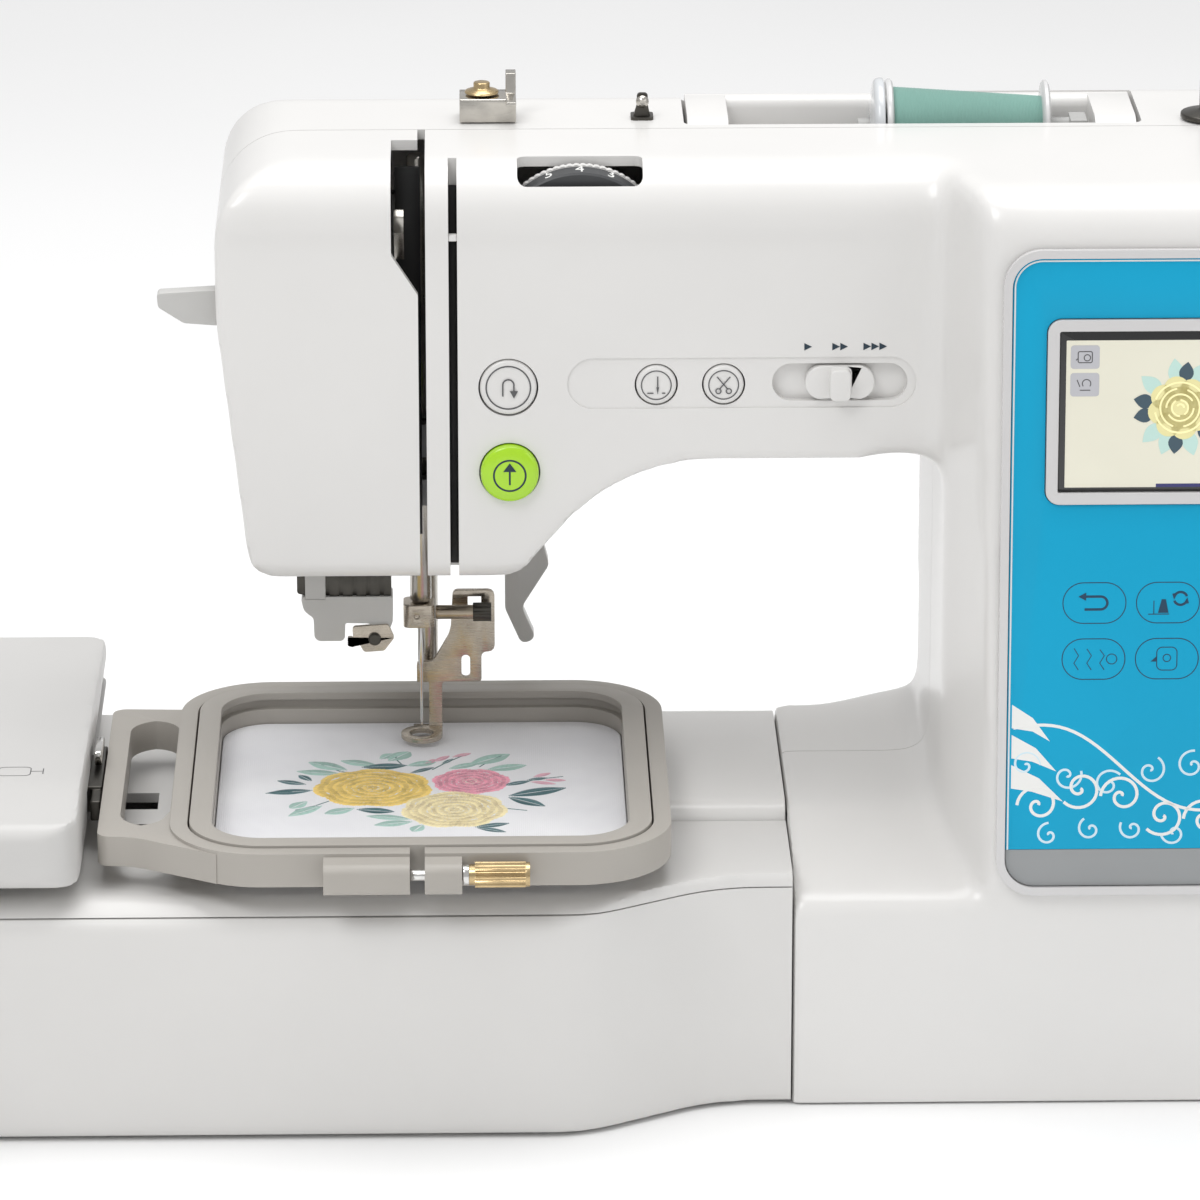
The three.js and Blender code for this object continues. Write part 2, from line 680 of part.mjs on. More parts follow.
for (const [name, { x, z, radius, proud, material }] of Object.entries(buttons)) {
  const front = -faceY + proud;
  const cap = turned("y", x, z, [
    [0, -faceY - wall - 5],
    [radius * 0.6, -faceY - wall - 5],
    [radius * 0.6, -faceY - wall + 1],
    [radius, -faceY - wall + 1],
    [radius, front - proud * 0.8],
    [radius * 0.8, front - proud * 0.25],
    [radius * 0.4, front],
    [0, front],
  ], 32);
  machine.add(piece(name, cap, material));
}

const sliderFlange = roundPrism(
  "y",
  box4(slider.x - slider.halfWidth, slider.x + slider.halfWidth, slider.z - slider.halfHeight,
    slider.z + slider.halfHeight, slider.halfHeight - 0.3),
  faceY - 0.8, faceY + wall, 4,
);
const sliderGrip = roundPrism(
  "y",
  box4(slider.x - 3, slider.x + 3, slider.z - slider.halfHeight, slider.z + slider.halfHeight, 1.2),
  faceY - 4.2, faceY, 3,
);
machine.add(piece("speed_slider", join(sliderFlange, sliderGrip), whitePlastic));

const dialDisc = turned("y", dial.x, dial.z, [
  [0, -dial.back],
  [dial.radius - 1, -dial.back],
  [dial.radius, -dial.back + 1],
  [dial.radius, -dial.front - 1],
  [dial.radius - 2, -dial.front],
  [0, -dial.front],
], 48);
const dialAxle = rod("y", dial.x, dial.z, dial.axle, dial.back - 1, -9, 20);
machine.add(piece("tension_dial", join(dialDisc, dialAxle), darkPlastic));

// ---------------------------------------------------------------- head mechanism

machine.add(piece("needle_bar", rod("z", 0, 0, needleBar.radius, needleBar.bottom,
  needleBar.top), steel));
const clampTop = needleBar.bottom - gap;
const clampBottom = clampTop - 7;
const screwHeight = (clampTop + clampBottom) / 2;
machine.add(
  piece("needle_clamp", roundPrism("z", box4(-5.2, 4, -4.6, 4.6, 2), clampBottom, clampTop, 3), steel),
);
const screwProfile = [
  [0, 4 + gap],
  [2.1, 4 + gap],
  [2.1, 15.6],
  [2.8, 15.8],
  [2.8, 21],
  [0, 21],
];
machine.add(piece("needle_clamp_screw", turned("x", 0, screwHeight, screwProfile, 20), steel));
const needleTip = clampBottom - gap - 33;
machine.add(
  piece(
    "needle",
    turned("z", 0, 0, [
      [0, needleTip],
      [0.5, needleTip + 3],
      [0.5, needleTip + 20],
      [1, needleTip + 22],
      [1, needleTip + 33],
      [0, needleTip + 33],
    ], 12),
    steel,
  ),
);

machine.add(
  piece(
    "presser_bar",
    rod("z", presserBar.x, presserBar.y, presserBar.radius, presserBar.bottom, presserBar.top),
    steel,
  ),
);

// The foot hangs in front of the presser bar and behind the needle bar's path; its ring goes round
// the needle.
const foot = { front: 5.8, thickness: 1.8, ringTop: 83.2, ringBottom: 81.6, ringRadius: 6.2 };
const footBack = foot.front + foot.thickness;
const footPlate = roundPrism(
  "y",
  [
    [-1.4, 97, 1],
    [2.2, 97, 0],
    [2.2, 86, 0],
    [6.2, 86, 0],
    [6.2, 97, 1],
    [18, 97, 1],
    [18, 106.5, 1.5],
    [22, 106.5, 2],
    [22, 126, 2],
    [9.5, 126, 1.5],
    [8.8, 113, 6],
    [3.5, 103.4, 3],
    [-1.4, 103.4, 1],
  ],
  foot.front, footBack, 3,
);
const footSlot = roundPrism("y", box4(12, 14.6, 98.5, 105.5, 1.2), foot.front - 1, footBack + 1, 3);
const footWindow = block(14, 18, foot.front - 1, footBack + 1, 120, 124);
const footHub = block(-1.4, 5.6, foot.front, presserBar.y + presserBar.radius + 1.5, 96.9,
  presserBar.bottom - gap);
const footNeck = block(2.2, 6.2, foot.front, footBack, foot.ringBottom, 87);
const footTongue = block(-2.5, 6.2, 3, footBack, foot.ringBottom, foot.ringTop);
const footRing = rod("z", 0, 0, foot.ringRadius, foot.ringBottom, foot.ringTop, 28);
const footEye = rod("z", 0, 0, foot.ringRadius - 2.6, 70, 90, 24);
machine.add(
  piece(
    "embroidery_foot",
    cut(join(footPlate, footHub, footNeck, footTongue, footRing), footSlot, footWindow, footEye),
    steel,
  ),
);

const leverBack = arm.back + gap + 6;
const presserLever = roundPrism(
  "y",
  [
    [leverPivot.x - 6.5, leverPivot.z + 6, 6],
    [leverPivot.x - 6.5, leverPivot.z - 16, 6],
    [25.4, 118, 2],
    [25.4, 105, 3],
    [30.4, 93.5, 2],
    [35, 95.2, 2],
    [30.6, 105.5, 3],
    [39, 119, 3],
    [leverPivot.x + 6.5, leverPivot.z - 16, 6],
    [leverPivot.x + 6.5, leverPivot.z + 6, 6],
  ],
  arm.back + gap, leverBack, 3,
);
const leverPin = rod("y", leverPivot.x, leverPivot.z, leverPivot.radius, frameBack + gap - 5,
  arm.back + 2, 16);
machine.add(piece("presser_lever", join(presserLever, leverPin), greyPlastic));

const tilt = THREE.MathUtils.degToRad(takeUp.tilt);
const tip = [takeUp.pivotY - takeUp.reach * Math.cos(tilt),
  takeUp.pivotZ + takeUp.reach * Math.sin(tilt)];
const leverArm = roundPrism(
  "x",
  [
    [takeUp.pivotY + 4, takeUp.pivotZ - 4, 3],
    [takeUp.pivotY + 4, takeUp.pivotZ + 5, 3],
    [tip[0] + 3, tip[1] + 4, 2],
    [tip[0], tip[1] + 2, 1],
    [tip[0] + 1, tip[1] - 3, 1],
  ],
  takeUp.left, takeUp.right, 3,
);
const eyelet = rod("x", tip[0] + 4.5, tip[1] - 0.2, 1.2, takeUp.left - 1, takeUp.right + 1, 12);
const takeUpPin = rod("x", takeUp.pivotY, takeUp.pivotZ, takeUp.pinRadius, takeUp.right - 1,
  takeUp.pinEnd, 16);
machine.add(piece("take_up_lever", join(cut(leverArm, eyelet), takeUpPin), steel));

// The threader's lever slides in a slot on the left, and its head hangs below the casing.
const threaderBar = { left: -44.5, right: -40.5 };
const threaderTab = roundPrism(
  "x",
  [
    [threader.y - 5, threader.z - 5, 2],
    [threader.y + 5, threader.z - 5, 2],
    [threader.y + 5, threader.z + 4, 2],
    [threader.y - 5, threader.z + 4, 2],
  ],
  head.left - gap - threader.tab, head.left - gap, 2,
);
const threaderStem = block(
  head.left - gap - 1, threaderBar.right, threader.y - threader.halfWidth + running,
  threader.y + threader.halfWidth - running, threader.z - threader.stem, threader.z + 3,
);
const threaderHang = { left: -34, right: -8, front: -17.6, back: -7, top: 153.6 };
const threaderArmFoot = threaderHang.top + threader.travel;
const threaderRod = block(
  threaderBar.left, threaderBar.right, threader.y - threader.halfWidth + running, threaderHang.back,
  threaderArmFoot, threader.z + 3,
);
const threaderArm = block(
  threaderBar.left, threaderHang.left + 6, threaderHang.front, threaderHang.back,
  threaderArmFoot, threaderArmFoot + 5,
);
const threaderDrop = block(
  threaderHang.left, threaderHang.left + 6, threaderHang.front, threaderHang.back,
  threaderHang.top + gap, threaderArmFoot + 1,
);
machine.add(
  piece("threader_lever", join(threaderTab, threaderStem, threaderRod, threaderArm,
    threaderDrop), greyPlastic),
);

const threaderBody = roundPrism(
  "y",
  [
    [threaderHang.left, 122, 3],
    [-28, 114.5, 2],
    [-16, 114.5, 2],
    [-13, 121, 3],
    [threaderHang.right, 121, 1.5],
    [threaderHang.right, 133, 1.5],
    [threaderHang.right - 2, 134, 1],
    [threaderHang.right - 2, threaderHang.top, 1],
    [threaderHang.left, threaderHang.top, 1],
  ],
  threaderHang.front, threaderHang.back, 3,
);
machine.add(piece("threader_head", threaderBody, greyPlastic));

// ---------------------------------------------------------------- top of the machine

const guide = { left: 12.5, right: 29, front: 4, back: 16, height: 7 };
const guideBase = arm.top + gap;
const guidePlate = join(
  block(guide.left, guide.right, guide.front, guide.back, guideBase, guideBase + guide.height),
  block(guide.right - 3, guide.right, guide.front - 4, guide.front + 1,
    guideBase + guide.height - 1.2, guideBase + guide.height),
  block(guide.right - 3, guide.right, guide.back - 5, guide.back, guideBase + guide.height - 1,
    guideBase + guide.height + 6),
);
machine.add(piece("thread_guide_plate", guidePlate, steel));
const discTop = guideBase + guide.height + gap;
machine.add(
  piece(
    "pretension_disc",
    turned("z", 19, 10, [
      [0, discTop],
      [5, discTop],
      [5, discTop + 0.8],
      [2.4, discTop + 1.6],
      [2.4, discTop + 3.4],
      [0, discTop + 3.4],
    ]),
    brass,
  ),
);

const pinRadius = 2.6;
const spoolPin = join(
  rod("x", spool.y, spool.z, pinRadius, spool.left - 8, spool.right + 11, 16),
  block(spool.right + 6, spool.right + 11, spool.y - 5, spool.y + 5, spoolTray.floor + gap, spool.z + 3),
);
machine.add(piece("spool_pin", spoolPin, whitePlastic));
const hole = pinRadius + running;
const coneSpool = turned("x", spool.y, spool.z, [
  [hole, spool.left],
  [spool.bigRadius, spool.left],
  [spool.smallRadius, spool.right - 8],
  [4.4, spool.right - 8],
  [4.4, spool.right - 3],
  [spool.capRadius - 1, spool.right - 3],
  [spool.capRadius - 1, spool.right - 1],
  [5, spool.right],
  [hole, spool.right],
  [hole, spool.left],
], 32);
machine.add(piece("thread_spool", coneSpool, thread));
const capDisc = turned("x", spool.y, spool.z, [
  [hole, spool.left - 4.5],
  [6, spool.left - 4.5],
  [spool.capRadius - 1, spool.left - 3.4],
  [spool.capRadius, spool.left - 2.4],
  [spool.capRadius, spool.left - gap],
  [hole, spool.left - gap],
  [hole, spool.left - 4.5],
], 36);
machine.add(piece("spool_cap", capDisc, whitePlastic));

const winder = { x: 232, y: 6 };
machine.add(
  piece(
    "bobbin_winder",
    turned("z", winder.x, winder.y, [
      [0, arm.top + gap],
      [8.5, arm.top + gap],
      [8.5, arm.top + 2],
      [3, arm.top + 3],
      [3, arm.top + 12],
      [2, arm.top + 13],
      [0, arm.top + 13],
    ]),
    steel,
  ),
);

const handleLeft = spoolTray.left + handle.clear;
const handleRight = spoolTray.right - handle.clear;
const handleBack = spoolTray.back - handle.clear;
const handleSide = [
  [handle.pivotY - handle.boss, handle.pivotZ - handle.boss, handle.boss],
  [handleBack, handle.pivotZ - handle.boss, 5],
  [handleBack, handle.pivotZ + handle.boss, 5],
  [handle.pivotY - handle.boss, handle.pivotZ + handle.boss, handle.boss],
];
const handlePinEnd = handle.pinLength - gap;
const carryHandle = join(
  rod("x", handle.pivotY, handle.pivotZ, handle.pinRadius, spoolTray.left - handlePinEnd,
    handleLeft + 2, 16),
  rod("x", handle.pivotY, handle.pivotZ, handle.pinRadius, handleRight - 2,
    spoolTray.right + handlePinEnd, 16),
  roundPrism("x", handleSide, handleLeft, handleLeft + handle.side, 4),
  roundPrism("x", handleSide, handleRight - handle.side, handleRight, 4),
  roundPrism(
    "x",
    box4(handle.gripFront, handleBack, handle.gripBottom, handle.pivotZ + handle.boss, 3.4),
    handleLeft, handleRight, 4,
  ),
);
machine.add(piece("carry_handle", carryHandle, whitePlastic));

// ---------------------------------------------------------------- embroidery unit

// Its front swells forward to the left of the machine, and it goes round the free arm on three sides.
const unitPlan = [
  [unit.left, unit.front, 26],
  [unit.swell, unit.front, 45],
  [unit.right - 22, column.front, 45],
  [unit.right, column.front, 0],
  [unit.right, bed.back + 8, 8],
  [unit.right - 14, unit.back - 6, 14],
  [unit.left, unit.back - 6, 26],
];
const freeArmRoom = block(bed.left - 2, unit.right + 5, bed.front - gap, bed.back + gap, -5, 100);
const unitSection = [
  [unit.front, footHeight, 4],
  [unit.back, footHeight, 4],
  [unit.back, unit.top, 8],
  [unit.front + 8, unit.top, 8],
  [unit.front, unit.top - 6, 6],
];
function unitForm(distance) {
  const plan = roundPrism("z", inset(unitPlan, distance), footHeight - 1, 100);
  const section = roundPrism("x", inset(unitSection, distance), unit.left - 5, unit.right + 5);
  const room = block(
    bed.left - 2 - distance, unit.right + 5, bed.front - gap - distance,
    bed.back + gap + distance, -5, 100,
  );
  return cut(plan.intersect(section), room);
}
const unitShell = cut(unitForm(0), unitForm(wall));
const travelX = 49;
const post = { x: -135, y: -28, half: 6 };
const postSlot = block(
  post.x - travelX - post.half - 2, post.x + travelX + post.half + 2, post.y - post.half - 1,
  post.y + post.half + 1,
  unit.seam, 100,
);
const below = block(-farAway, farAway, -farAway, farAway, -5, unit.seam - gap / 2);
const above = block(-farAway, farAway, -farAway, farAway, unit.seam + gap / 2, farAway);
machine.add(piece("unit_bottom_cover", unitShell.intersect(below), whitePlastic));
machine.add(piece("unit_top_cover", cut(unitShell.intersect(above), postSlot), whitePlastic));

const rail = { y: post.y, z: 44, radius: 4 };
const railEnds = [unit.left + wall + 1, bed.left - 2 - wall - gap];
const railBlock = 2.6;
const railPiece = join(
  rod("x", rail.y, rail.z, rail.radius, railEnds[0], railEnds[1], 20),
  block(railEnds[0], railEnds[0] + railBlock, rail.y - 8, rail.y + 8, footHeight + wall + gap,
    rail.z + 8),
  block(railEnds[1] - railBlock, railEnds[1], rail.y - 8, rail.y + 8, footHeight + wall + gap,
    rail.z + 8),
);
machine.add(piece("x_guide_rail", railPiece, steel));

const carriageSlider = cut(
  join(
    block(post.x - 9, post.x + 9, rail.y - 10, rail.y + 10, rail.z - 9, rail.z + 9),
    block(post.x - post.half, post.x + post.half, post.y - post.half, post.y + post.half, rail.z + 8,
      carriage.bottom - gap),
  ),
  rod("x", rail.y, rail.z, rail.radius + running, -farAway, farAway, 20),
);
machine.add(piece("carriage_slider", carriageSlider, castAlloy));

const carriagePlan = box4(carriage.left, carriage.right, carriage.front, carriage.back, 12);
const carriageSection = [
  [carriage.front, carriage.bottom, 5],
  [carriage.back, carriage.bottom, 4],
  [carriage.back, carriage.top - 8, 7],
  [carriage.front + 30, carriage.top, 60],
  [carriage.front, carriage.top - 3, 6],
];
const carriageBlank = roundPrism("z", carriagePlan, carriage.bottom, carriage.top + 5)
  .intersect(roundPrism("x", carriageSection, carriage.left - 5, carriage.right + 5));
const carriageHollow = roundPrism("z", inset(carriagePlan, wall), carriage.bottom + wall,
  carriage.top + 5)
  .intersect(roundPrism("x", inset(carriageSection, wall), carriage.left, carriage.right));
const travelY = { front: 5, back: 94 };
const holderSlot = block(
  holder.left - 1, carriage.right + 5, holder.y - holder.halfLength - travelY.front - 2,
  holder.y + holder.halfLength + travelY.back + 1, holder.bottom - 0.6, holder.top + 0.6,
);
machine.add(
  piece("carriage_cover", cut(carriageBlank, carriageHollow, holderSlot), whitePlastic),
);

// ---------------------------------------------------------------- hoop and its holder

const holderPiece = join(
  block(holder.left, holder.right, holder.y - holder.halfLength, holder.y + holder.halfLength,
    holder.bottom, holder.top),
  block(carriage.right + 1, holder.right, holder.y - holder.halfLength - 10,
    holder.y + holder.halfLength + 10,
    holder.bottom + 1, holder.top - 1),
);
machine.add(piece("frame_holder", holderPiece, darkPlastic));
const latch = { y: holder.y + 17, radius: 1.8 };
machine.add(
  piece(
    "holder_lever",
    roundPrism(
      "x",
      [
        [latch.y - 14, holder.top + gap, 0],
        [latch.y + latch.radius, holder.top + gap, latch.radius],
        [latch.y + latch.radius, holder.top + gap + 2 * latch.radius, latch.radius],
        [latch.y - 18, holder.top + 6.2, 1],
        [latch.y - 18, holder.top + 3.6, 1],
      ],
      carriage.right + 1.2, holder.right - 0.6, 2,
    ),
    steel,
  ),
);

const hoopFront = hoop.y - hoop.halfDepth;
const hoopBack = hoop.y + hoop.halfDepth;
const outerCorners = box4(-hoop.halfWidth, hoop.halfWidth, hoopFront, hoopBack, hoop.corner);
const outerRing = ring("z", outerCorners, hoop.rim, hoop.bottom, hoop.top, 7);
const bracket = { bar: holder.right + gap, barWidth: 6, front: hoop.y - 58, back: hoop.y + 56 };
const bracketOutline = [
  [bracket.bar, bracket.front, 3],
  [-hoop.halfWidth + 12, bracket.front + 2, 0],
  [-hoop.halfWidth + 12, bracket.back - 2, 0],
  [bracket.bar, bracket.back, 3],
];
const bracketWindow = [
  [bracket.bar + bracket.barWidth, bracket.front + 12, 8],
  [-hoop.halfWidth + 20, bracket.front + 16, 0],
  [-hoop.halfWidth + 20, bracket.back - 16, 0],
  [bracket.bar + bracket.barWidth, bracket.back - 12, 8],
];
const bracketPlate = cut(
  roundPrism("z", bracketOutline, hoop.bottom, hoop.top - 1, 4),
  roundPrism("z", bracketWindow, hoop.bottom - 1, hoop.top + 1, 4),
);
const splitGap = { left: -3, right: 1.2 };
const lug = { left: -27.5, right: 11.8, reach: 8.4 };
const lugBlock = block(lug.left, lug.right, hoopFront - lug.reach, hoopFront + 3, hoop.bottom,
  hoop.top - 1);
const screw = { y: hoopFront - lug.reach / 2, z: 84, radius: 1.6 };
const insideOuter = roundPrism("z", inset(outerCorners, hoop.rim), 0, 200, 7);
const outerHoop = cut(
  join(outerRing, cut(join(bracketPlate, lugBlock), insideOuter)),
  block(splitGap.left, splitGap.right, hoopFront - 20, hoopFront + hoop.rim + 1, 0, 200),
  rod("x", screw.y, screw.z, screw.radius + running, lug.left + 6, 60, 16),
);
machine.add(piece("outer_hoop", outerHoop, greyPlastic));

const innerCorners = inset(outerCorners, hoop.rim + hoopSlot);
machine.add(
  piece("inner_hoop", ring("z", innerCorners, innerRim, hoop.bottom + 0.4, hoop.top + 0.6, 7),
    greyPlastic),
);
const clothCorners = inset(innerCorners, innerRim + gap);
machine.add(
  piece("cloth", roundPrism("z", clothCorners, hoop.bottom + 0.4,
    hoop.bottom + 0.4 + clothThickness, 5), cloth),
);

const knob = { left: lug.right + 2, right: 31, radius: 3.7 };
machine.add(
  piece(
    "hoop_screw",
    turned("x", screw.y, screw.z, [
      [0, lug.left + 8],
      [screw.radius, lug.left + 8],
      [screw.radius, knob.left],
      [knob.radius, knob.left],
      [knob.radius, knob.right],
      [0, knob.right],
    ]),
    brass,
  ),
);

// ---------------------------------------------------------------- rubber feet

const feet = {
  foot_front_right: [column.right - 26, column.front + 24],
  foot_rear_right: [column.right - 26, base.back - 22],
  foot_front_left: [unit.left + 28, unit.front + 26],
  foot_rear_left: [unit.left + 28, unit.back - 32],
};
for (const [name, [x, y]] of Object.entries(feet))
  machine.add(piece(name, rod("z", x, y, 9, 0, footHeight - gap / 2, 24), rubber));

// ---------------------------------------------------------------- origin

// The origin goes to the middle of the footprint, on the table.
const extent = new THREE.Box3().setFromObject(machine, true);
const middle = extent.getCenter(new THREE.Vector3());
machine.position.set(-middle.x, -middle.y, -extent.min.z);

export default machine;
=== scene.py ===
import json
import math
import random

import bpy
from mathutils import Matrix, Vector


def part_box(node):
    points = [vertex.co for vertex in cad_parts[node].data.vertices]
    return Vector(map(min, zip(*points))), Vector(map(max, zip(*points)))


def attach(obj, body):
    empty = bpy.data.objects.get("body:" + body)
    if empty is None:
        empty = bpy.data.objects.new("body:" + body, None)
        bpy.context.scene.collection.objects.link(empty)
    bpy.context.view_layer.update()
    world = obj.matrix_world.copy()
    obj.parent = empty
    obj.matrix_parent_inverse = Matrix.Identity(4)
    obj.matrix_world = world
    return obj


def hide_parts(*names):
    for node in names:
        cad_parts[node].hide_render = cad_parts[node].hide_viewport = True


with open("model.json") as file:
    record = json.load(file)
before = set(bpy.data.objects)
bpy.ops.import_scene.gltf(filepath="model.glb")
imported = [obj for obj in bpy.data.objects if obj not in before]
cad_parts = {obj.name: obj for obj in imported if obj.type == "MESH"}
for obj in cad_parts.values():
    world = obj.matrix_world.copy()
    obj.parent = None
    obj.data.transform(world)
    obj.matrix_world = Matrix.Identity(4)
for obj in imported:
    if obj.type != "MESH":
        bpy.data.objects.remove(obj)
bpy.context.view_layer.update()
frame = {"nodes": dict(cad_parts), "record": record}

# Everything is laid out in millimetres from the needle: X to the right, Y away, Z up from the table.
needleLow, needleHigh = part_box("needle")
originX = (needleLow[0] + needleHigh[0]) / 2
originY = (needleLow[1] + needleHigh[1]) / 2
mm = 0.001


def at(x, y, z):
    return Vector((x * mm + originX, y * mm + originY, z * mm))


# working in edit mode

def pickOnly(obj):
    bpy.ops.object.select_all(action="DESELECT")
    obj.select_set(True)
    bpy.context.view_layer.objects.active = obj


def applyAll(obj):
    pickOnly(obj)
    for modifier in list(obj.modifiers):
        bpy.ops.object.modifier_apply(modifier=modifier.name)


def roundedPoints(corners, steps=10):
    # corners are (u, v, radius): the arcs that round them, as a list of points
    points = []
    count = len(corners)
    for i, (u, v, radius) in enumerate(corners):
        here = Vector((u, v))
        back = (Vector(corners[i - 1][:2]) - here).normalized()
        ahead = (Vector(corners[(i + 1) % count][:2]) - here).normalized()
        half = math.acos(max(-1, min(1, back.dot(ahead)))) / 2
        turn = math.pi - 2 * half
        if radius < 0.01 or turn < 0.01:
            points.append(here)
            continue
        middle = here + (back + ahead).normalized() * (radius / math.sin(half))
        start = here + back * (radius / math.tan(half)) - middle
        side = -1 if back.x * ahead.y - back.y * ahead.x > 0 else 1
        pieces = max(2, round(steps * turn / (math.pi / 2)))
        for k in range(pieces + 1):
            angle = side * turn * k / pieces
            c, s = math.cos(angle), math.sin(angle)
            points.append(middle + Vector((start.x * c - start.y * s, start.x * s + start.y * c)))
    return points


def offsetCorners(corners, distance):
    # the same corners moved inwards, or outwards for a negative distance
    area = sum(a[0] * b[1] - b[0] * a[1] for a, b in zip(corners, corners[1:] + corners[:1]))
    ordered = corners if area > 0 else corners[::-1]
    moved = []
    for i, (u, v, radius) in enumerate(ordered):
        before, after = ordered[i - 1], ordered[(i + 1) % len(ordered)]
        a = Vector((u - before[0], v - before[1])).normalized()
        b = Vector((after[0] - u, after[1] - v)).normalized()
        bend = a.x * b.y - a.y * b.x
        scale = distance / (1 + a.dot(b))
        newRadius = max(0, radius - (distance if bend > 0 else -distance)) if radius else 0
        moved.append((u + (-a.y - b.y) * scale, v + (a.x + b.x) * scale, newRadius))
    return moved


def across(axis, u, v, along):
    # the point whose place across the axis is (u, v)
    return {"x": (along, u, v), "y": (u, along, v), "z": (u, v, along)}[axis]


def prism(name, axis, points, low, high):
    # a flat outline drawn as a filled circle with its points moved, then extruded along the axis
    bpy.ops.object.select_all(action="DESELECT")
    bpy.ops.mesh.primitive_circle_add(vertices=len(points), radius=0.01, fill_type="NGON")
    obj = bpy.context.active_object
    obj.name = name
    for vertex, (u, v) in zip(obj.data.vertices, points):
        vertex.co = at(*across(axis, u, v, low))
    step = Vector(across(axis, 0, 0, (high - low) * mm))
    bpy.ops.object.mode_set(mode="EDIT")
    bpy.ops.mesh.select_all(action="SELECT")
    bpy.ops.mesh.extrude_region_move(TRANSFORM_OT_translate={"value": step})
    bpy.ops.mesh.select_all(action="SELECT")
    bpy.ops.mesh.normals_make_consistent(inside=False)
    bpy.ops.object.mode_set(mode="OBJECT")
    return obj


def roundPrism(name, axis, corners, low, high, steps=10):
    return prism(name, axis, roundedPoints(corners, steps), low, high)


def boxCorners(u0, u1, v0, v1, radius):
    return [(u0, v0, radius), (u1, v0, radius), (u1, v1, radius), (u0, v1, radius)]


def block(name, x0, x1, y0, y1, z0, z1):
    return roundPrism(name, "z", boxCorners(x0, x1, y0, y1, 0), z0, z1)


def combine(target, tools, operation, keep=False, solver="MANIFOLD"):
    for tool in tools if isinstance(tools, (list, tuple)) else [tools]:
        pickOnly(target)
        modifier = target.modifiers.new("combine", "BOOLEAN")
        modifier.operation = operation
        modifier.solver = solver
        modifier.object = tool
        bpy.ops.object.modifier_apply(modifier=modifier.name)
        if not keep:
            bpy.data.objects.remove(tool, do_unlink=True)
    return target


def cut(target, *tools, **words):
    return combine(target, tools, "DIFFERENCE", **words)


def join(target, *tools, **words):
    return combine(target, tools, "UNION", **words)


def keepCommon(target, *tools, **words):
    return combine(target, tools, "INTERSECT", **words)


def copyOf(obj, name):
    twin = obj.copy()
    twin.data = obj.data.copy()
    twin.name = name
    bpy.context.scene.collection.objects.link(twin)
    return twin


def lathe(name, axis, u, v, profile, segments=64, smooth=35):
    # profile is (radius, distance along the axis): an edge chain spun about the axis by the Screw modifier
    bpy.ops.object.select_all(action="DESELECT")
    bpy.ops.mesh.primitive_circle_add(vertices=len(profile), radius=0.01, fill_type="NOTHING")
    obj = bpy.context.active_object
    obj.name = name
    closed = profile[0] == profile[-1]
    outline = profile[:-1] if closed else profile
    if closed:
        bpy.data.objects.remove(obj, do_unlink=True)
        bpy.ops.mesh.primitive_circle_add(vertices=len(outline), radius=0.01, fill_type="NOTHING")
        obj = bpy.context.active_object
        obj.name = name
    for vertex, (radius, along) in zip(obj.data.vertices, outline):
        vertex.co = Vector((radius * mm, 0, along * mm))
    if not closed:
        bpy.ops.object.mode_set(mode="EDIT")
        bpy.ops.mesh.select_all(action="DESELECT")
        bpy.ops.object.mode_set(mode="OBJECT")
        ends = {0, len(outline) - 1}
        for edge in obj.data.edges:
            edge.select = set(edge.vertices) == ends
        bpy.ops.object.mode_set(mode="EDIT")
        bpy.ops.mesh.select_mode(type="EDGE")
        bpy.ops.mesh.delete(type="EDGE")
        bpy.ops.object.mode_set(mode="OBJECT")
    screw = obj.modifiers.new("spin", "SCREW")
    screw.steps = screw.render_steps = segments
    screw.use_merge_vertices = True
    screw.merge_threshold = 1e-6
    applyAll(obj)
    turn = {
        "x": Matrix(((0, 0, 1), (1, 0, 0), (0, 1, 0))),
        "y": Matrix(((1, 0, 0), (0, 0, 1), (0, 1, 0))),
        "z": Matrix.Identity(3),
    }[axis].to_4x4()
    obj.data.transform(Matrix.Translation(at(*across(axis, u, v, 0))) @ turn)
    tidyMesh(obj)
    return soften(obj, smooth)


def tidyMesh(obj, distance=1e-6):
    pickOnly(obj)
    bpy.ops.object.mode_set(mode="EDIT")
    bpy.ops.mesh.select_all(action="SELECT")
    if distance:
        bpy.ops.mesh.remove_doubles(threshold=distance)
    bpy.ops.mesh.select_all(action="SELECT")
    bpy.ops.mesh.normals_make_consistent(inside=False)
    bpy.ops.object.mode_set(mode="OBJECT")


def soften(obj, angle=35):
    pickOnly(obj)
    bpy.ops.object.shade_smooth_by_angle(angle=math.radians(angle))
    return obj


def bevelEdges(obj, width, segments=3, angle=35):
    bevel = obj.modifiers.new("edge", "BEVEL")
    bevel.width = width * mm
    bevel.segments = segments
    bevel.limit_method = "ANGLE"
    bevel.angle_limit = math.radians(angle)
    bevel.use_clamp_overlap = True
    bevel.harden_normals = False
    applyAll(obj)
    return soften(obj, 40)


def mould(obj, voxel, rounds, factor=0.5):
    # melts the joined solids into one moulded skin with rounded edges
    remesh = obj.modifiers.new("skin", "REMESH")
    remesh.mode = "VOXEL"
    remesh.voxel_size = voxel * mm
    remesh.adaptivity = 0
    smooth = obj.modifiers.new("melt", "SMOOTH")
    smooth.factor = factor
    smooth.iterations = rounds
    applyAll(obj)
    return obj


def tube(name, axis, u, v, radius, low, high, segments=48):
    points = [
        (u + radius * math.cos(2 * math.pi * k / segments),
        v + radius * math.sin(2 * math.pi * k / segments))
        for k in range(segments)
    ]
    return prism(name, axis, points, low, high)


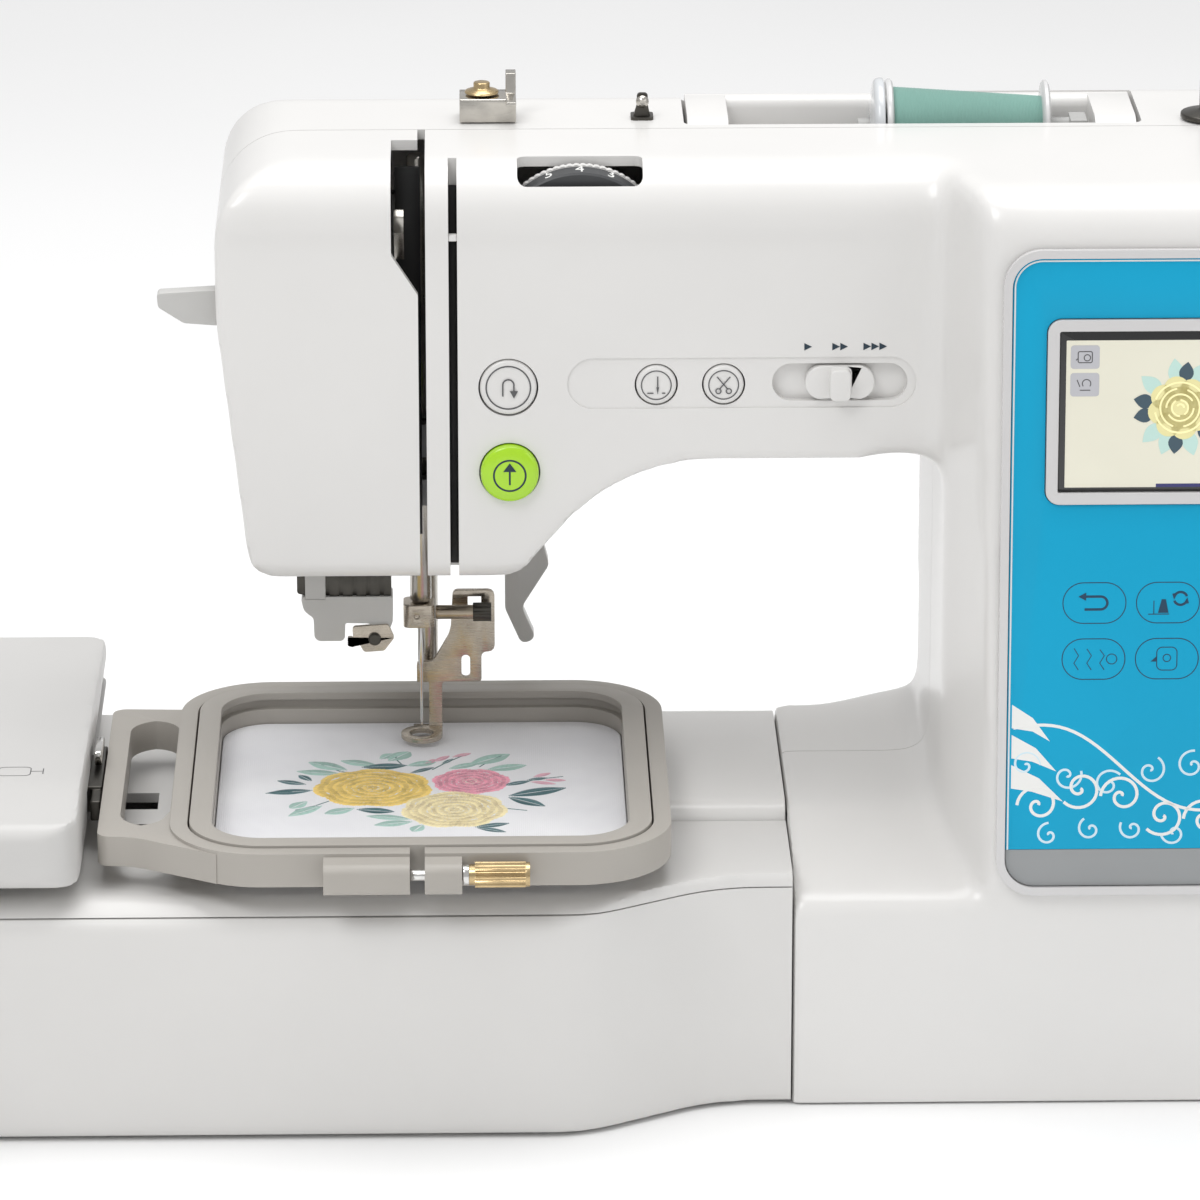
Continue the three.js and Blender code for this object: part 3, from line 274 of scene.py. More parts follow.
def flutedOutline(u, v, radius, depth, count, period, low):
    # a circle whose points numbered in low, out of each period, stand back by depth
    points = []
    for i in range(count):
        angle = 2 * math.pi * i / count
        reach = radius - (depth if i % period in low else 0)
        points.append((u + reach * math.cos(angle), v + reach * math.sin(angle)))
    return points


# materials

def newMaterial(name):
    material = bpy.data.materials.new(name)
    material.use_nodes = True
    nodes, links = material.node_tree.nodes, material.node_tree.links
    shader = nodes["Principled BSDF"]
    place = nodes.new("ShaderNodeTexCoord")
    return material, nodes, links, shader, place


def noiseNode(nodes, links, place, scale, detail=4.0, roughness=0.5, stretch=None):
    noise = nodes.new("ShaderNodeTexNoise")
    noise.inputs["Scale"].default_value = scale
    noise.inputs["Detail"].default_value = detail
    noise.inputs["Roughness"].default_value = roughness
    source = place.outputs["Object"]
    if stretch:
        mapping = nodes.new("ShaderNodeMapping")
        mapping.inputs["Scale"].default_value = stretch
        links.new(source, mapping.inputs["Vector"])
        source = mapping.outputs["Vector"]
    links.new(source, noise.inputs["Vector"])
    return noise


def rampBetween(nodes, links, factor, low, high, start=0.35, end=0.65):
    ramp = nodes.new("ShaderNodeValToRGB")
    ramp.color_ramp.elements[0].position = start
    ramp.color_ramp.elements[1].position = end
    ramp.color_ramp.elements[0].color = (*low, 1)
    ramp.color_ramp.elements[1].color = (*high, 1)
    links.new(factor, ramp.inputs["Fac"])
    return ramp


def bumpNode(nodes, links, height, strength, distance, shader, before=None):
    bump = nodes.new("ShaderNodeBump")
    bump.inputs["Strength"].default_value = strength
    bump.inputs["Distance"].default_value = distance
    links.new(height, bump.inputs["Height"])
    if before:
        links.new(before.outputs["Normal"], bump.inputs["Normal"])
    if shader:
        links.new(bump.outputs["Normal"], shader.inputs["Normal"])
    return bump


def rangeNode(nodes, links, value, low, high):
    spread = nodes.new("ShaderNodeMapRange")
    spread.inputs["To Min"].default_value = low
    spread.inputs["To Max"].default_value = high
    links.new(value, spread.inputs["Value"])
    return spread


def plastic(name, colour, rough=0.32, vary=0.03, grain=0.02, coat=0.0, grainScale=2600):
    material, nodes, links, shader, place = newMaterial(name)
    cloudy = noiseNode(nodes, links, place, 14, 3)
    darker = tuple(c * (1 - vary) for c in colour)
    lighter = tuple(min(1, c * (1 + vary * 0.6)) for c in colour)
    ramp = rampBetween(nodes, links, cloudy.outputs["Fac"], darker, lighter)
    links.new(ramp.outputs["Color"], shader.inputs["Base Color"])
    fine = noiseNode(nodes, links, place, grainScale, 2)
    spread = rangeNode(nodes, links, cloudy.outputs["Fac"], rough - 0.04, rough + 0.04)
    links.new(spread.outputs["Result"], shader.inputs["Roughness"])
    bumpNode(nodes, links, fine.outputs["Fac"], grain, 0.0002, shader)
    shader.inputs["Coat Weight"].default_value = coat
    shader.inputs["Coat Roughness"].default_value = 0.12
    return material


def metal(name, colour, rough=0.25, stretch=(40, 40, 900), scuff=0.05):
    material, nodes, links, shader, place = newMaterial(name)
    shader.inputs["Metallic"].default_value = 1.0
    brushed = noiseNode(nodes, links, place, 3, 4, stretch=stretch)
    patches = noiseNode(nodes, links, place, 160, 4)
    darker = tuple(c * 0.82 for c in colour)
    ramp = rampBetween(nodes, links, patches.outputs["Fac"], darker, colour)
    links.new(ramp.outputs["Color"], shader.inputs["Base Color"])
    spread = rangeNode(nodes, links, brushed.outputs["Fac"], rough - scuff, rough + scuff * 2)
    links.new(spread.outputs["Result"], shader.inputs["Roughness"])
    bumpNode(nodes, links, brushed.outputs["Fac"], 0.12, 0.0001, shader)
    return material


whiteShell = plastic("whiteShell", (0.735, 0.725, 0.71), 0.30, 0.02, 0.015, coat=0.25)
hoopPlastic = plastic("hoopPlastic", (0.40, 0.376, 0.342), 0.42, 0.05, 0.06, grainScale=1800)
# black plastic for the real black parts, also used for the black sheets that paint shade in the dial well
# and the thread slots
blackPlasticAndShade = plastic("blackPlasticAndShade", (0.02, 0.02, 0.021), 0.42, 0.2, 0.08)
footRubber = plastic("footRubber", (0.03, 0.03, 0.03), 0.8, 0.2, 0.3, grainScale=900)
silverPaint = plastic("silverPaint", (0.52, 0.52, 0.53), 0.28, 0.03, 0.05, coat=0.4)
silverPaint.node_tree.nodes["Principled BSDF"].inputs["Metallic"].default_value = 0.55
steel = metal("steel", (0.60, 0.575, 0.53), 0.22)
bronzedSteel = metal("bronzedSteel", (0.50, 0.43, 0.34), 0.26)
brass = metal("brass", (0.62, 0.47, 0.26), 0.24)
castAlloy = metal("castAlloy", (0.42, 0.43, 0.44), 0.45, stretch=(60, 60, 60))

# the machine's body

body = {
    "headLeft": -58, "headBottom": 147, "waist": 226, "taper": 9,
    "front": -50, "back": 50, "top": 270, "underside": 183, "faceStep": 1.3, "stepHeight": 250,
    "columnLeft": 152, "columnRight": 296, "columnFront": -93, "lean": 13, "shoulder": 166,
    "columnBack": 62,
    "bedTop": 77, "bedFront": -48, "bedBack": 39, "lip": 57, "baseLeft": 107.4, "baseBack": 85,
    "wall": 3, "parting": -2, "voxel": 1.7, "meltRounds": 9, "below": -3, "hem": 0.8,
}
b = body
frontOutline = [
    (b["headLeft"], b["top"], 22), (b["headLeft"], b["waist"], 60),
    (b["headLeft"] + b["taper"], b["headBottom"], 9), (b["headLeft"] + 86, b["headBottom"], 10),
    (b["headLeft"] + 116, b["underside"], 58), (b["columnLeft"], b["underside"], 6),
    (b["columnLeft"], b["bedTop"], 14), (b["baseLeft"] - 30, b["bedTop"], 0),
    (b["baseLeft"] - 30, b["below"], 0),
    (b["columnRight"], b["below"], 0), (b["columnRight"], b["top"], 16),
]
armSection = [
    (b["front"] + b["faceStep"], b["headBottom"], 5), (b["back"], b["headBottom"], 8),
    (b["back"], b["top"], 18),
    (b["front"], b["top"], 16), (b["front"], b["stepHeight"] + 1, 0),
    (b["front"] + b["faceStep"], b["stepHeight"], 0),
]
columnSection = [
    (b["columnFront"], b["below"], 2), (b["columnBack"], b["below"], 2),
    (b["columnBack"] - 6, b["top"], 18),
    (b["columnFront"] + b["lean"], b["top"], 15), (b["columnFront"], 52, 60),
]
columnPlan = [
    (b["columnLeft"], b["front"] - 2, 25), (b["shoulder"], b["columnFront"] - 6, 12),
    (b["columnRight"], b["columnFront"] - 6, 18), (b["columnRight"], b["columnBack"] + 4, 14),
    (b["columnLeft"], b["columnBack"] + 4, 8),
]
baseSection = [
    (b["columnFront"], b["below"], 2), (b["baseBack"], b["below"], 2), (b["baseBack"] - 6, 66, 12),
    (b["lip"], b["bedTop"], 10),
    (b["bedFront"], b["bedTop"], 12), (b["columnFront"], 63, 7),
]
basePlan = [
    (b["baseLeft"], b["columnFront"] - 6, 0), (b["columnRight"], b["columnFront"] - 6, 18),
    (b["columnRight"], b["baseBack"], 18), (176, b["baseBack"], 30),
    (b["columnLeft"] - 12, b["lip"], 30),
    (b["baseLeft"], b["bedBack"] + 1, 0),
]


def bodyForm(name, distance, steps):
    def shrink(corners):
        return offsetCorners(corners, distance) if distance else corners
    silhouette = roundPrism(name + "Front", "y", shrink(frontOutline), b["columnFront"] - 10,
        b["baseBack"] + 10, steps)
    form = roundPrism(name, "x", shrink(armSection), b["headLeft"] - 5, b["shoulder"] + 6 - distance,
        steps)
    column = roundPrism(name + "Column", "x", shrink(columnSection), b["columnLeft"] - 5,
        b["columnRight"] + 5, steps)
    keepCommon(column, roundPrism(name + "Plan", "z", shrink(columnPlan), b["below"] - 1, b["top"] + 5,
        steps))
    footing = roundPrism(name + "Base", "x", shrink(baseSection), b["baseLeft"] - 5,
        b["columnRight"] + 5, steps)
    keepCommon(footing, roundPrism(name + "BasePlan", "z", shrink(basePlan), b["below"] - 1, b["top"],
        steps))
    join(form, column, footing)
    return keepCommon(form, silhouette)


def meltNear(obj, boxes, rounds):
    # softens only the places where the real casting has a wide hollow fillet
    group = obj.vertex_groups.new(name="melt")
    for (low, high), weight in boxes:
        a, c = at(*low), at(*high)
        centre, reach = (a + c) / 2, (c - a) / 2
        for vertex in obj.data.vertices:
            offset = max(abs(vertex.co[i] - centre[i]) / reach[i] for i in range(3))
            if offset < 1:
                group.add([vertex.index], weight * min(1, (1 - offset) * 3), "REPLACE")
    smooth = obj.modifiers.new("melt", "SMOOTH")
    smooth.factor = 0.5
    smooth.iterations = rounds
    smooth.vertex_group = "melt"
    applyAll(obj)
    obj.vertex_groups.clear()


# what each carried piece rides on and is finished in
riderOf = {node: name for name, nodes in frame["record"]["behaviour"]["bodies"].items() for node in nodes}


def settle(obj, material, *nodes, rider=None, angle=32, smooth=True):
    # a finished piece gets its material and moves with the body it belongs to
    if smooth:
        soften(obj, angle)
    obj.data.materials.clear()
    obj.data.materials.append(material)
    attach(obj, rider or riderOf[nodes[0]])
    if nodes:
        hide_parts(*nodes)
    return obj


print("body")
casing = mould(bodyForm("casing", 0, 14), b["voxel"], b["meltRounds"])
meltNear(casing, [
    (((112, -100, 40), (186, 70, 118)), 1.0),
    (((128, -100, 165), (182, -30, 275)), 1.0),
], 90)

cut(casing, block("tableCut", -100, 330, -130, 120, -20, b["hem"]))

tray = {"left": 78, "right": 212, "front": 2, "back": 42.5, "floor": 247}
cavity = bodyForm("cavity", b["wall"], 6)
trayCorners = boxCorners(tray["left"], tray["right"], tray["front"], tray["back"], 3)
cut(
    cavity,
    roundPrism("trayLining", "z", offsetCorners(trayCorners, -3), tray["floor"] - 3, 276, 4),
    block("grooveLining", 6, 14.5, -55, -31, 142, 275),
    block("inletLining", 283, 301, 14, 46, 17, 43),
    block("switchLining", 283, 301, 48, 68, 17, 43),
)
cut(casing, cavity)
underside = roundPrism("underside", "z", offsetCorners(basePlan, b["wall"] + 1), -9, 8, 6)
cut(underside, block("frontLip", -120, 340, -140, b["columnFront"] + b["wall"], -12, 12))
cut(casing, underside)
cut(
    casing,
    roundPrism("trayHole", "z", trayCorners, tray["floor"], 275, 6),
    block("groove", 9, 11.5, -56, -34, 142, 276),
    block("headHole", -40, 15, -27, 32, 142, 155),
    block("armDoor", 102, 115.4, -47.6, 38.6, 5, 74),
    tube("shaftHole", "x", 0, 232, 7, 286, 301, 48),
    block("inletHole", 286, 301, 17, 43, 20, 40),
    block("switchHole", 286, 301, 51, 65, 20, 40),
    tube("lifterHole", "y", 24, 168, 3, 45, 55, 24),
    tube("handleHole", "x", 12, 262, 3.5, 76.2, 213.8, 24),
)

faceY = b["front"] + b["faceStep"]
controls = {
    "reverse": {"x": 26, "z": 205.5, "radius": 8.2, "proud": 0.5},
    "start": {"x": 26.3, "z": 180, "radius": 8.4, "proud": 2.4},
    "needle": {"x": 68.6, "z": 206, "radius": 5.8, "proud": 0.5},
    "cutter": {"x": 88, "z": 206, "radius": 5.8, "proud": 0.5},
}
slider = {"x": 121.5, "z": 206.5, "halfWidth": 10, "halfHeight": 5}
dial = {
    "x": 46.8, "z": 243, "radius": 25.5, "front": -44, "back": -35, "halfWindow": 18,
    "wheelRadius": 24.9, "rimDepth": 2.2, "ridges": 80, "ridgeDepth": 0.3, "bowlRise": 24.5,
    "bowlRadius": 29,
    "numbers": 9, "numberStep": 21, "numberSize": 4.6, "numberMiddle": 4.2, "numberStretch": (1.15, 1.9),
    "wellEnd": 18.6, "wellLow": 18.4,
}
bowl = tube(
    "dialBowl", "y", dial["x"], body["top"] + dial["bowlRise"], dial["bowlRadius"],
    dial["front"] - 9, dial["front"] - 1.5, 96,
)  # in the rounded edge, leading the thumb to the wheel

frontCover = copyOf(casing, "frontCoverShell")
keepCommon(frontCover, block("frontHalf", 2.4, 400, -200, b["parting"] - 0.2, -5, 400))
cut(
    frontCover,
    roundPrism("dialWindow", "z", boxCorners(
        dial["x"] - dial["halfWindow"], dial["x"] + dial["halfWindow"], dial["front"] - 2,
        dial["back"] + 2, 2.5), b["top"] - 15, 275, 6),
    bowl,
    roundPrism("pill", "y", boxCorners(43, 143.5, 198.9, 214.1, 7.5), -55, faceY + 0.45, 16),
    roundPrism("sliderSlot", "y", boxCorners(102, 141, 200.9, 212.1, 5.5), -55, faceY + 4, 16),
    *[tube(key + "Hole", "y", c["x"], c["z"], c["radius"] + 0.45, -55, faceY + 4, 64) for key,
    c in controls.items()],
)
rearCover = copyOf(casing, "rearCoverShell")
keepCommon(rearCover, block("rearHalf", -400, 400, b["parting"] + 0.2, 400, -5, 400))
cut(rearCover, *[block(f"vent{i}", 192 + i * 10, 195 + i * 10, 40, 90, 100, 150) for i in range(7)])
faceCover = casing
faceCover.name = "faceCoverShell"
keepCommon(faceCover, block("faceHalf", -400, 0.2, -200, b["parting"] - 0.2, -5, 400))
takeUpOutline = [(-7.4, 280, 0), (-7.4, 245, 1), (0.3, 233, 1), (0.3, 230, 0), (1, 230, 0), (1, 280, 0)]
cut(
    faceCover,
    roundPrism("takeUpSlot", "y", takeUpOutline, -56, -14, 4),
    block("threaderSlot", -64, -46, -33, -27, 204, 232),
)
for cover, node in ((frontCover, "front_cover"), (rearCover, "rear_cover"), (faceCover, "face_cover")):
    settle(cover, whiteShell, node)
    print(cover.name, len(cover.data.polygons))


def refined(node, width, material, segments=3, angle=30):
    # the carried shape with its edges broken, as it comes out of the mould or the press
    obj = bpy.data.objects.new(node + "Finished", frame["nodes"][node].data.copy())
    bpy.context.scene.collection.objects.link(obj)
    tidyMesh(obj, 2e-6)
    pickOnly(obj)
    bpy.ops.object.mode_set(mode="EDIT")
    bpy.ops.mesh.select_all(action="SELECT")
    bpy.ops.mesh.dissolve_limited(angle_limit=math.radians(1))
    bpy.ops.object.mode_set(mode="OBJECT")
    bevelEdges(obj, width, segments, angle)
    return settle(obj, material, node, angle=40)


def joinAll(name, pieces):
    bpy.ops.object.select_all(action="DESELECT")
    for piece in pieces:
        piece.select_set(True)
    bpy.context.view_layer.objects.active = pieces[0]
    if len(pieces) > 1:
        bpy.ops.object.join()
    joined = bpy.context.active_object
    joined.name = name
    return joined


def lineWork(name, lines, width, height, flat=0.25):
    # drawn lines as thin raised strokes: a curve with a round bevel, made a mesh and flattened
    curve = bpy.data.curves.new(name, "CURVE")
    curve.dimensions = "3D"
    curve.bevel_depth = width / 2 * mm
    curve.bevel_resolution = 1
    curve.use_fill_caps = True
    for points, closed in lines:
        spline = curve.splines.new("POLY")
        spline.points.add(len(points) - 1)
        for point, (u, v) in zip(spline.points, points):
            point.co = (u * mm, v * mm, 0, 1)
        spline.use_cyclic_u = closed
    obj = bpy.data.objects.new(name, curve)
    bpy.context.scene.collection.objects.link(obj)
    pickOnly(obj)
    bpy.ops.object.convert(target="MESH")
    obj = bpy.context.active_object
    for vertex in obj.data.vertices:
        vertex.co.z = vertex.co.z * flat + height * mm
        vertex.co += at(0, 0, 0)
    return obj


def arcPoints(u, v, radius, start, end, count=24, squash=1.0):
    return [
        (u + radius * math.cos(math.radians(start + (end - start) * k / count)),
         v + radius * squash * math.sin(math.radians(start + (end - start) * k / count)))
        for k in range(count + 1)
    ]


def pillPoints(u, v, halfWidth, halfHeight, radius):
    corners = boxCorners(u - halfWidth, u + halfWidth, v - halfHeight, v + halfHeight, radius)
    return [tuple(point) for point in roundedPoints(corners, 10)]


# a flat drawing made in the table's plane is stood up on a face by one of these
def facing(y, u=0, v=0):
    stand = Matrix(((1, 0, 0), (0, 0, -1), (0, 1, 0))).to_4x4()
    return Matrix.Translation(at(u, y, v)) @ stand @ Matrix.Translation(-at(0, 0, 0))


panel = {
    "x": 223.5, "y": -92.7, "z": 65.5, "lean": 3.41, "halfWidth": 58, "height": 190, "corner": 11,
    "rim": 2.4, "thickness": 1.5, "screenMiddle": 143, "screenHalfWidth": 42, "screenHalfHeight": 23.5,
    "screenRim": 3.4, "band": 13.6,
}
onPanel = (
    Matrix.Translation(at(panel["x"], panel["y"], panel["z"]))
    @ Matrix.Rotation(math.radians(90 - panel["lean"]), 4, "X")
    @ Matrix.Translation(-at(0, 0, 0))
)


def placed(obj, matrix):
    obj.data.transform(matrix)
    return obj


def textMesh(name, words, size, u, v, height, depth=0.12):
    bpy.ops.object.select_all(action="DESELECT")
    bpy.ops.object.text_add(location=(0, 0, 0))
    obj = bpy.context.active_object
    obj.name = name
    obj.data.body = words
    obj.data.size = size * mm
    obj.data.extrude = depth / 2 * mm
    obj.data.align_x = "CENTER"
    obj.data.align_y = "CENTER"
    bpy.ops.object.convert(target="MESH")
    obj = bpy.context.active_object
    for vertex in obj.data.vertices:
        vertex.co += at(u, v, height)
    return obj


# more finishes
unitShellPaint = plastic("unitShellPaint", (0.68, 0.67, 0.655), 0.34, 0.02, 0.03, coat=0.15,
    grainScale=1500)
carriagePaint = plastic("carriagePaint", (0.585, 0.577, 0.565), 0.38, 0.02, 0.03, coat=0.1,
    grainScale=1500)
panelBlue = plastic("panelBlue", (0.002, 0.36, 0.60), 0.5, 0.03, 0.03)
panelBlue.node_tree.nodes["Principled BSDF"].inputs["Specular IOR Level"].default_value = 0.25
bandGrey = plastic("bandGrey", (0.30, 0.31, 0.315), 0.4, 0.03, 0.05)
bezelSilver = plastic("bezelSilver", (0.62, 0.61, 0.61), 0.25, 0.03, 0.02, coat=0.5)
screenBlack = plastic("screenBlack", (0.008, 0.008, 0.009), 0.12, 0.1, 0.0, coat=0.6)
darkInk = plastic("darkInk", (0.01, 0.03, 0.05), 0.5, 0.1, 0.02)
keyInk = plastic("keyInk", (0.004, 0.045, 0.10), 0.45, 0.1, 0.02)
paleInk = plastic("paleInk", (0.62, 0.78, 0.86), 0.4, 0.05, 0.02)
greyInk = plastic("greyInk", (0.10, 0.10, 0.105), 0.5, 0.1, 0.02)
limeLens = plastic("limeLens", (0.40, 0.72, 0.008), 0.22, 0.05, 0.0, coat=0.6)
dialBlack = plastic("dialBlack", (0.045, 0.047, 0.05), 0.45, 0.1, 0.05)
whiteInk = plastic("whiteInk", (0.82, 0.82, 0.80), 0.45, 0.03, 0.0)
clearCover = plastic("clearCover", (0.62, 0.64, 0.66), 0.12, 0.02, 0.0, coat=0.5)
threadTeal = plastic("threadTeal", (0.21, 0.39, 0.34), 0.5, 0.1, 0.05)
boardGreen = plastic("boardGreen", (0.012, 0.10, 0.045), 0.4, 0.3, 0.1, grainScale=600)
beltRubber = plastic("beltRubber", (0.015, 0.015, 0.015), 0.75, 0.2, 0.2, grainScale=500)
greyPlate = plastic("greyPlate", (0.42, 0.42, 0.41), 0.45, 0.05, 0.1, grainScale=900)
chrome = metal("chrome", (0.78, 0.77, 0.75), 0.12, scuff=0.02)
darkSteel = metal("darkSteel", (0.10, 0.095, 0.085), 0.35)
warmSteel = metal("warmSteel", (0.56, 0.50, 0.42), 0.24)


def screenGlow(name, colour, strength):
    material, nodes, links, shader, place = newMaterial(name)
    cloudy = noiseNode(nodes, links, place, 30, 2)
    ramp = rampBetween(nodes, links, cloudy.outputs["Fac"], tuple(c * 0.96 for c in colour), colour)
    links.new(ramp.outputs["Color"], shader.inputs["Base Color"])
    links.new(ramp.outputs["Color"], shader.inputs["Emission Color"])
    shader.inputs["Emission Strength"].default_value = strength
    shader.inputs["Roughness"].default_value = 0.2
    return material


# embroidery unit
print("embroidery unit")
unit = {
    "left": -225, "right": 107, "front": -117, "back": 58, "top": 72, "seam": 68, "swell": 45,
    "wall": 3, "voxel": 1.5, "meltRounds": 7,
}
u = unit
unitPlan = [
    (u["left"], u["front"], 26), (u["swell"], u["front"], 45), (u["right"] - 22, b["columnFront"], 45),
    (u["right"] + 6, b["columnFront"], 0), (u["right"] + 6, b["bedBack"] + 8, 0),
    (u["right"] - 14, u["back"] - 6, 14),
    (u["left"], u["back"] - 6, 26),
]
unitSection = [
    (u["front"], 1, 3), (u["back"], 1, 3), (u["back"], u["top"], 8), (u["front"] + 8, u["top"], 8),
    (u["front"], u["top"] - 6, 6),
]


def unitForm(name, distance, steps):
    def shrink(corners):
        return offsetCorners(corners, distance) if distance else corners
    form = roundPrism(name, "z", shrink(unitPlan), 0.5, 100, steps)
    keepCommon(form, roundPrism(name + "Side", "x", shrink(unitSection), u["left"] - 5, u["right"] + 9,
        steps))
    return form


unitCasing = mould(unitForm("unitCasing", 0, 14), u["voxel"], u["meltRounds"])
armRoom = block("armRoom", -68, 130, b["bedFront"] - 0.4, b["bedBack"] + 0.4, -5, 100)
roomLining = block("roomLining", -71, 130, b["bedFront"] - 3.4, b["bedBack"] + 3.4, -5, 100)
unitHollow = unitForm("unitHollow", u["wall"], 6)
cut(unitHollow, roomLining, block("endLining", u["right"] - 3, 140, -200, 200, -5, 100))
cut(unitCasing, unitHollow, armRoom, block("unitEnd", u["right"], 140, -200, 200, -5, 100))
unitTop = copyOf(unitCasing, "unitTopShell")
keepCommon(unitTop, block("above", -400, 400, -300, 300, u["seam"] + 0.2, 110))
cut(unitTop, block("postSlot", -192, -78, -35, -21, 60, 100))
unitBottom = unitCasing
unitBottom.name = "unitBottomShell"
keepCommon(unitBottom, block("below", -400, 400, -300, 300, -5, u["seam"] - 0.2))
settle(unitTop, unitShellPaint, "unit_top_cover")
settle(unitBottom, unitShellPaint, "unit_bottom_cover")

# carriage arm and the clip that holds the hoop
carriage = {"left": -173, "right": -97, "front": -120, "back": 70, "bottom": 78, "top": 100,
    "corner": 12}
c = carriage
carriagePlan = boxCorners(c["left"], c["right"], c["front"], c["back"], c["corner"])
carriageSection = [
    (c["front"], c["bottom"], 5), (c["back"], c["bottom"], 4), (c["back"], c["top"] - 8, 7),
    (c["front"] + 30, c["top"], 60), (c["front"], c["top"] - 3, 6),
]


def carriageForm(name, distance, low, steps):
    plan = offsetCorners(carriagePlan, distance) if distance else carriagePlan
    section = offsetCorners(carriageSection, distance) if distance else carriageSection
    form = roundPrism(name, "z", plan, low, 110, steps)
    return keepCommon(form, roundPrism(name + "Side", "x", section, c["left"] - 5, c["right"] + 5,
        steps))


carriageShell = mould(carriageForm("carriageShell", 0, c["bottom"] - 2, 14), 1.2, 6)
cut(carriageShell, carriageForm("carriageHollow", 3, c["bottom"] + 3, 6))
cut(carriageShell, block("holderSlot", -105, -92, -66, 64, 79.4, 88.6))
settle(carriageShell, carriagePaint, "carriage_cover")
refined("frame_holder", 0.5, darkSteel)
refined("holder_lever", 0.4, chrome)
refined("carriage_slider", 0.6, castAlloy)
refined("x_guide_rail", 0.3, steel)

# free arm with its needle plate
refined("free_arm_cover", 1.6, whiteShell, 4)
refined("needle_plate", 0.3, steel, 2)
refined("bobbin_cover", 0.3, clearCover, 2)

# hoops
print("hoops and cloth")
hoop = {
    "y": -44.5, "halfWidth": 72, "halfDepth": 74.5, "corner": 27, "bottom": 79, "top": 89, "rim": 5,
    "slot": 0.6, "innerRim": 6.4, "edge": 0.8, "splitLeft": -3, "splitRight": 1.2,
}
h = hoop
hoopFront, hoopBack = h["y"] - h["halfDepth"], h["y"] + h["halfDepth"]
outerPlan = boxCorners(-h["halfWidth"], h["halfWidth"], hoopFront, hoopBack, h["corner"])
insidePlan = offsetCorners(outerPlan, h["rim"])
outerHoop = roundPrism("outerHoopRing", "z", outerPlan, h["bottom"], h["top"], 20)
join(
    outerHoop,
    roundPrism("bracketPlate", "z", [
        (-92.6, -100.5, 4), (-82, -101.5, 14), (-58, -116, 0), (-58, 4, 0), (-70, 8, 8), (-92.6, 9, 4),
    ], h["bottom"], h["top"] - 1, 8),
    roundPrism("leftLug", "x", [
        (hoopFront + 3, h["bottom"], 0), (hoopFront - 8.4, h["bottom"], 2.2),
        (hoopFront - 8.4, h["top"] - 1, 3.2),
        (hoopFront + 3, h["top"] - 1, 0),
    ], -27.5, 11.8, 8),
)
cut(
    outerHoop,
    roundPrism("insideOuter", "z", insidePlan, 60, 120, 20),
    roundPrism("bracketWindow", "z", [
        (-86.6, -91, 10), (-76, -92.5, 8), (-72.3, -80, 6), (-72.3, -8, 6), (-76, -1.5, 8),
        (-86.6, -2.5, 10),
    ], 60, 120, 8),
    block("split", h["splitLeft"], h["splitRight"], hoopFront - 20, hoopFront + 6, 60, 120),
    tube("screwBore", "x", hoopFront - 4.2, 84, 2.1, -21.5, 60, 24),
)
bevelEdges(outerHoop, h["edge"], 3, 40)
settle(outerHoop, hoopPlastic, "outer_hoop", angle=40)
innerPlan = offsetCorners(outerPlan, h["rim"] + h["slot"])
holePlan = offsetCorners(innerPlan, h["innerRim"])
innerHoop = roundPrism("innerHoopRing", "z", innerPlan, h["bottom"] + 0.4, h["top"] + 0.6, 20)
cut(innerHoop, roundPrism("innerHole", "z", holePlan, 60, 120, 20))
# a step runs round the inside, under the rim
cut(innerHoop, roundPrism("innerStep", "z", offsetCorners(holePlan, -2.2), h["bottom"] + 5.4,
    h["top"] - 1.6, 20))
bevelEdges(innerHoop, 0.6, 3, 40)
settle(innerHoop, hoopPlastic, "inner_hoop", angle=40)

# clamp screw: a fluted brass knob with a bright collar
knob = {"y": hoopFront - 4.2, "z": 84, "left": 13.8, "right": 31, "radius": 3.7, "flutes": 18,
    "fluteDepth": 0.45,
        "core": 1.6}
k = knob
fluted = flutedOutline(k["y"], k["z"], k["radius"], k["fluteDepth"], k["flutes"] * 4, 4, (1, 2))
knobBody = prism("screwKnob", "x", fluted, k["left"] + 1.6, k["right"] - 1.2)
join(
    knobBody,
    tube("knobEnd", "x", k["y"], k["z"], k["radius"] - 0.15, k["right"] - 1.3, k["right"], 48),
    tube("knobFace", "x", k["y"], k["z"], k["radius"] - 0.7, k["left"], k["left"] + 1.8, 48),
)
bevelEdges(knobBody, 0.15, 2, 50)
settle(knobBody, brass, "hoop_screw")
screwStem = tube("screwStem", "x", k["y"], k["z"], k["core"], -19.5, k["left"] + 0.2, 32)
join(screwStem, tube("screwCollar", "x", k["y"], k["z"], 3.0, 12.0, k["left"] - 0.1, 40))
bevelEdges(screwStem, 0.2, 2, 50)
settle(screwStem, chrome, rider="clamp_screw")

# cloth: one sheet held tight, with the slight ripples that stitching pulls into it
cloth = {"bottom": 79.4, "thickness": 0.5, "rise": 0.45, "cells": 96, "corner": 14.2, "margin": 0.4,
    "rim": 12}
clothHalfX = h["halfWidth"] - h["rim"] - h["slot"] - h["innerRim"] - cloth["margin"]
clothHalfY = h["halfDepth"] - h["rim"] - h["slot"] - h["innerRim"] - cloth["margin"]
clothZ = cloth["bottom"] + cloth["rise"]


def ripple(x, y):
    # height of the cloth above its flat level, in millimetres
    d = h["y"]
    pull = math.exp(-((x + 1) ** 2 / 1500 + (y - d) ** 2 / 900))
    wave = 0.16 * math.sin(0.11 * x + 0.05 * y + 1.1) * math.cos(0.09 * y - 0.03 * x)
    ray = 0.10 * math.sin(9 * math.atan2(y - d, x + 1))
    edge = min(1, (clothHalfX - abs(x)) / cloth["rim"], (clothHalfY - abs(y - d)) / cloth["rim"])
    return max(0, edge) * ((1 - pull) * (wave + ray) - 0.12 * pull)


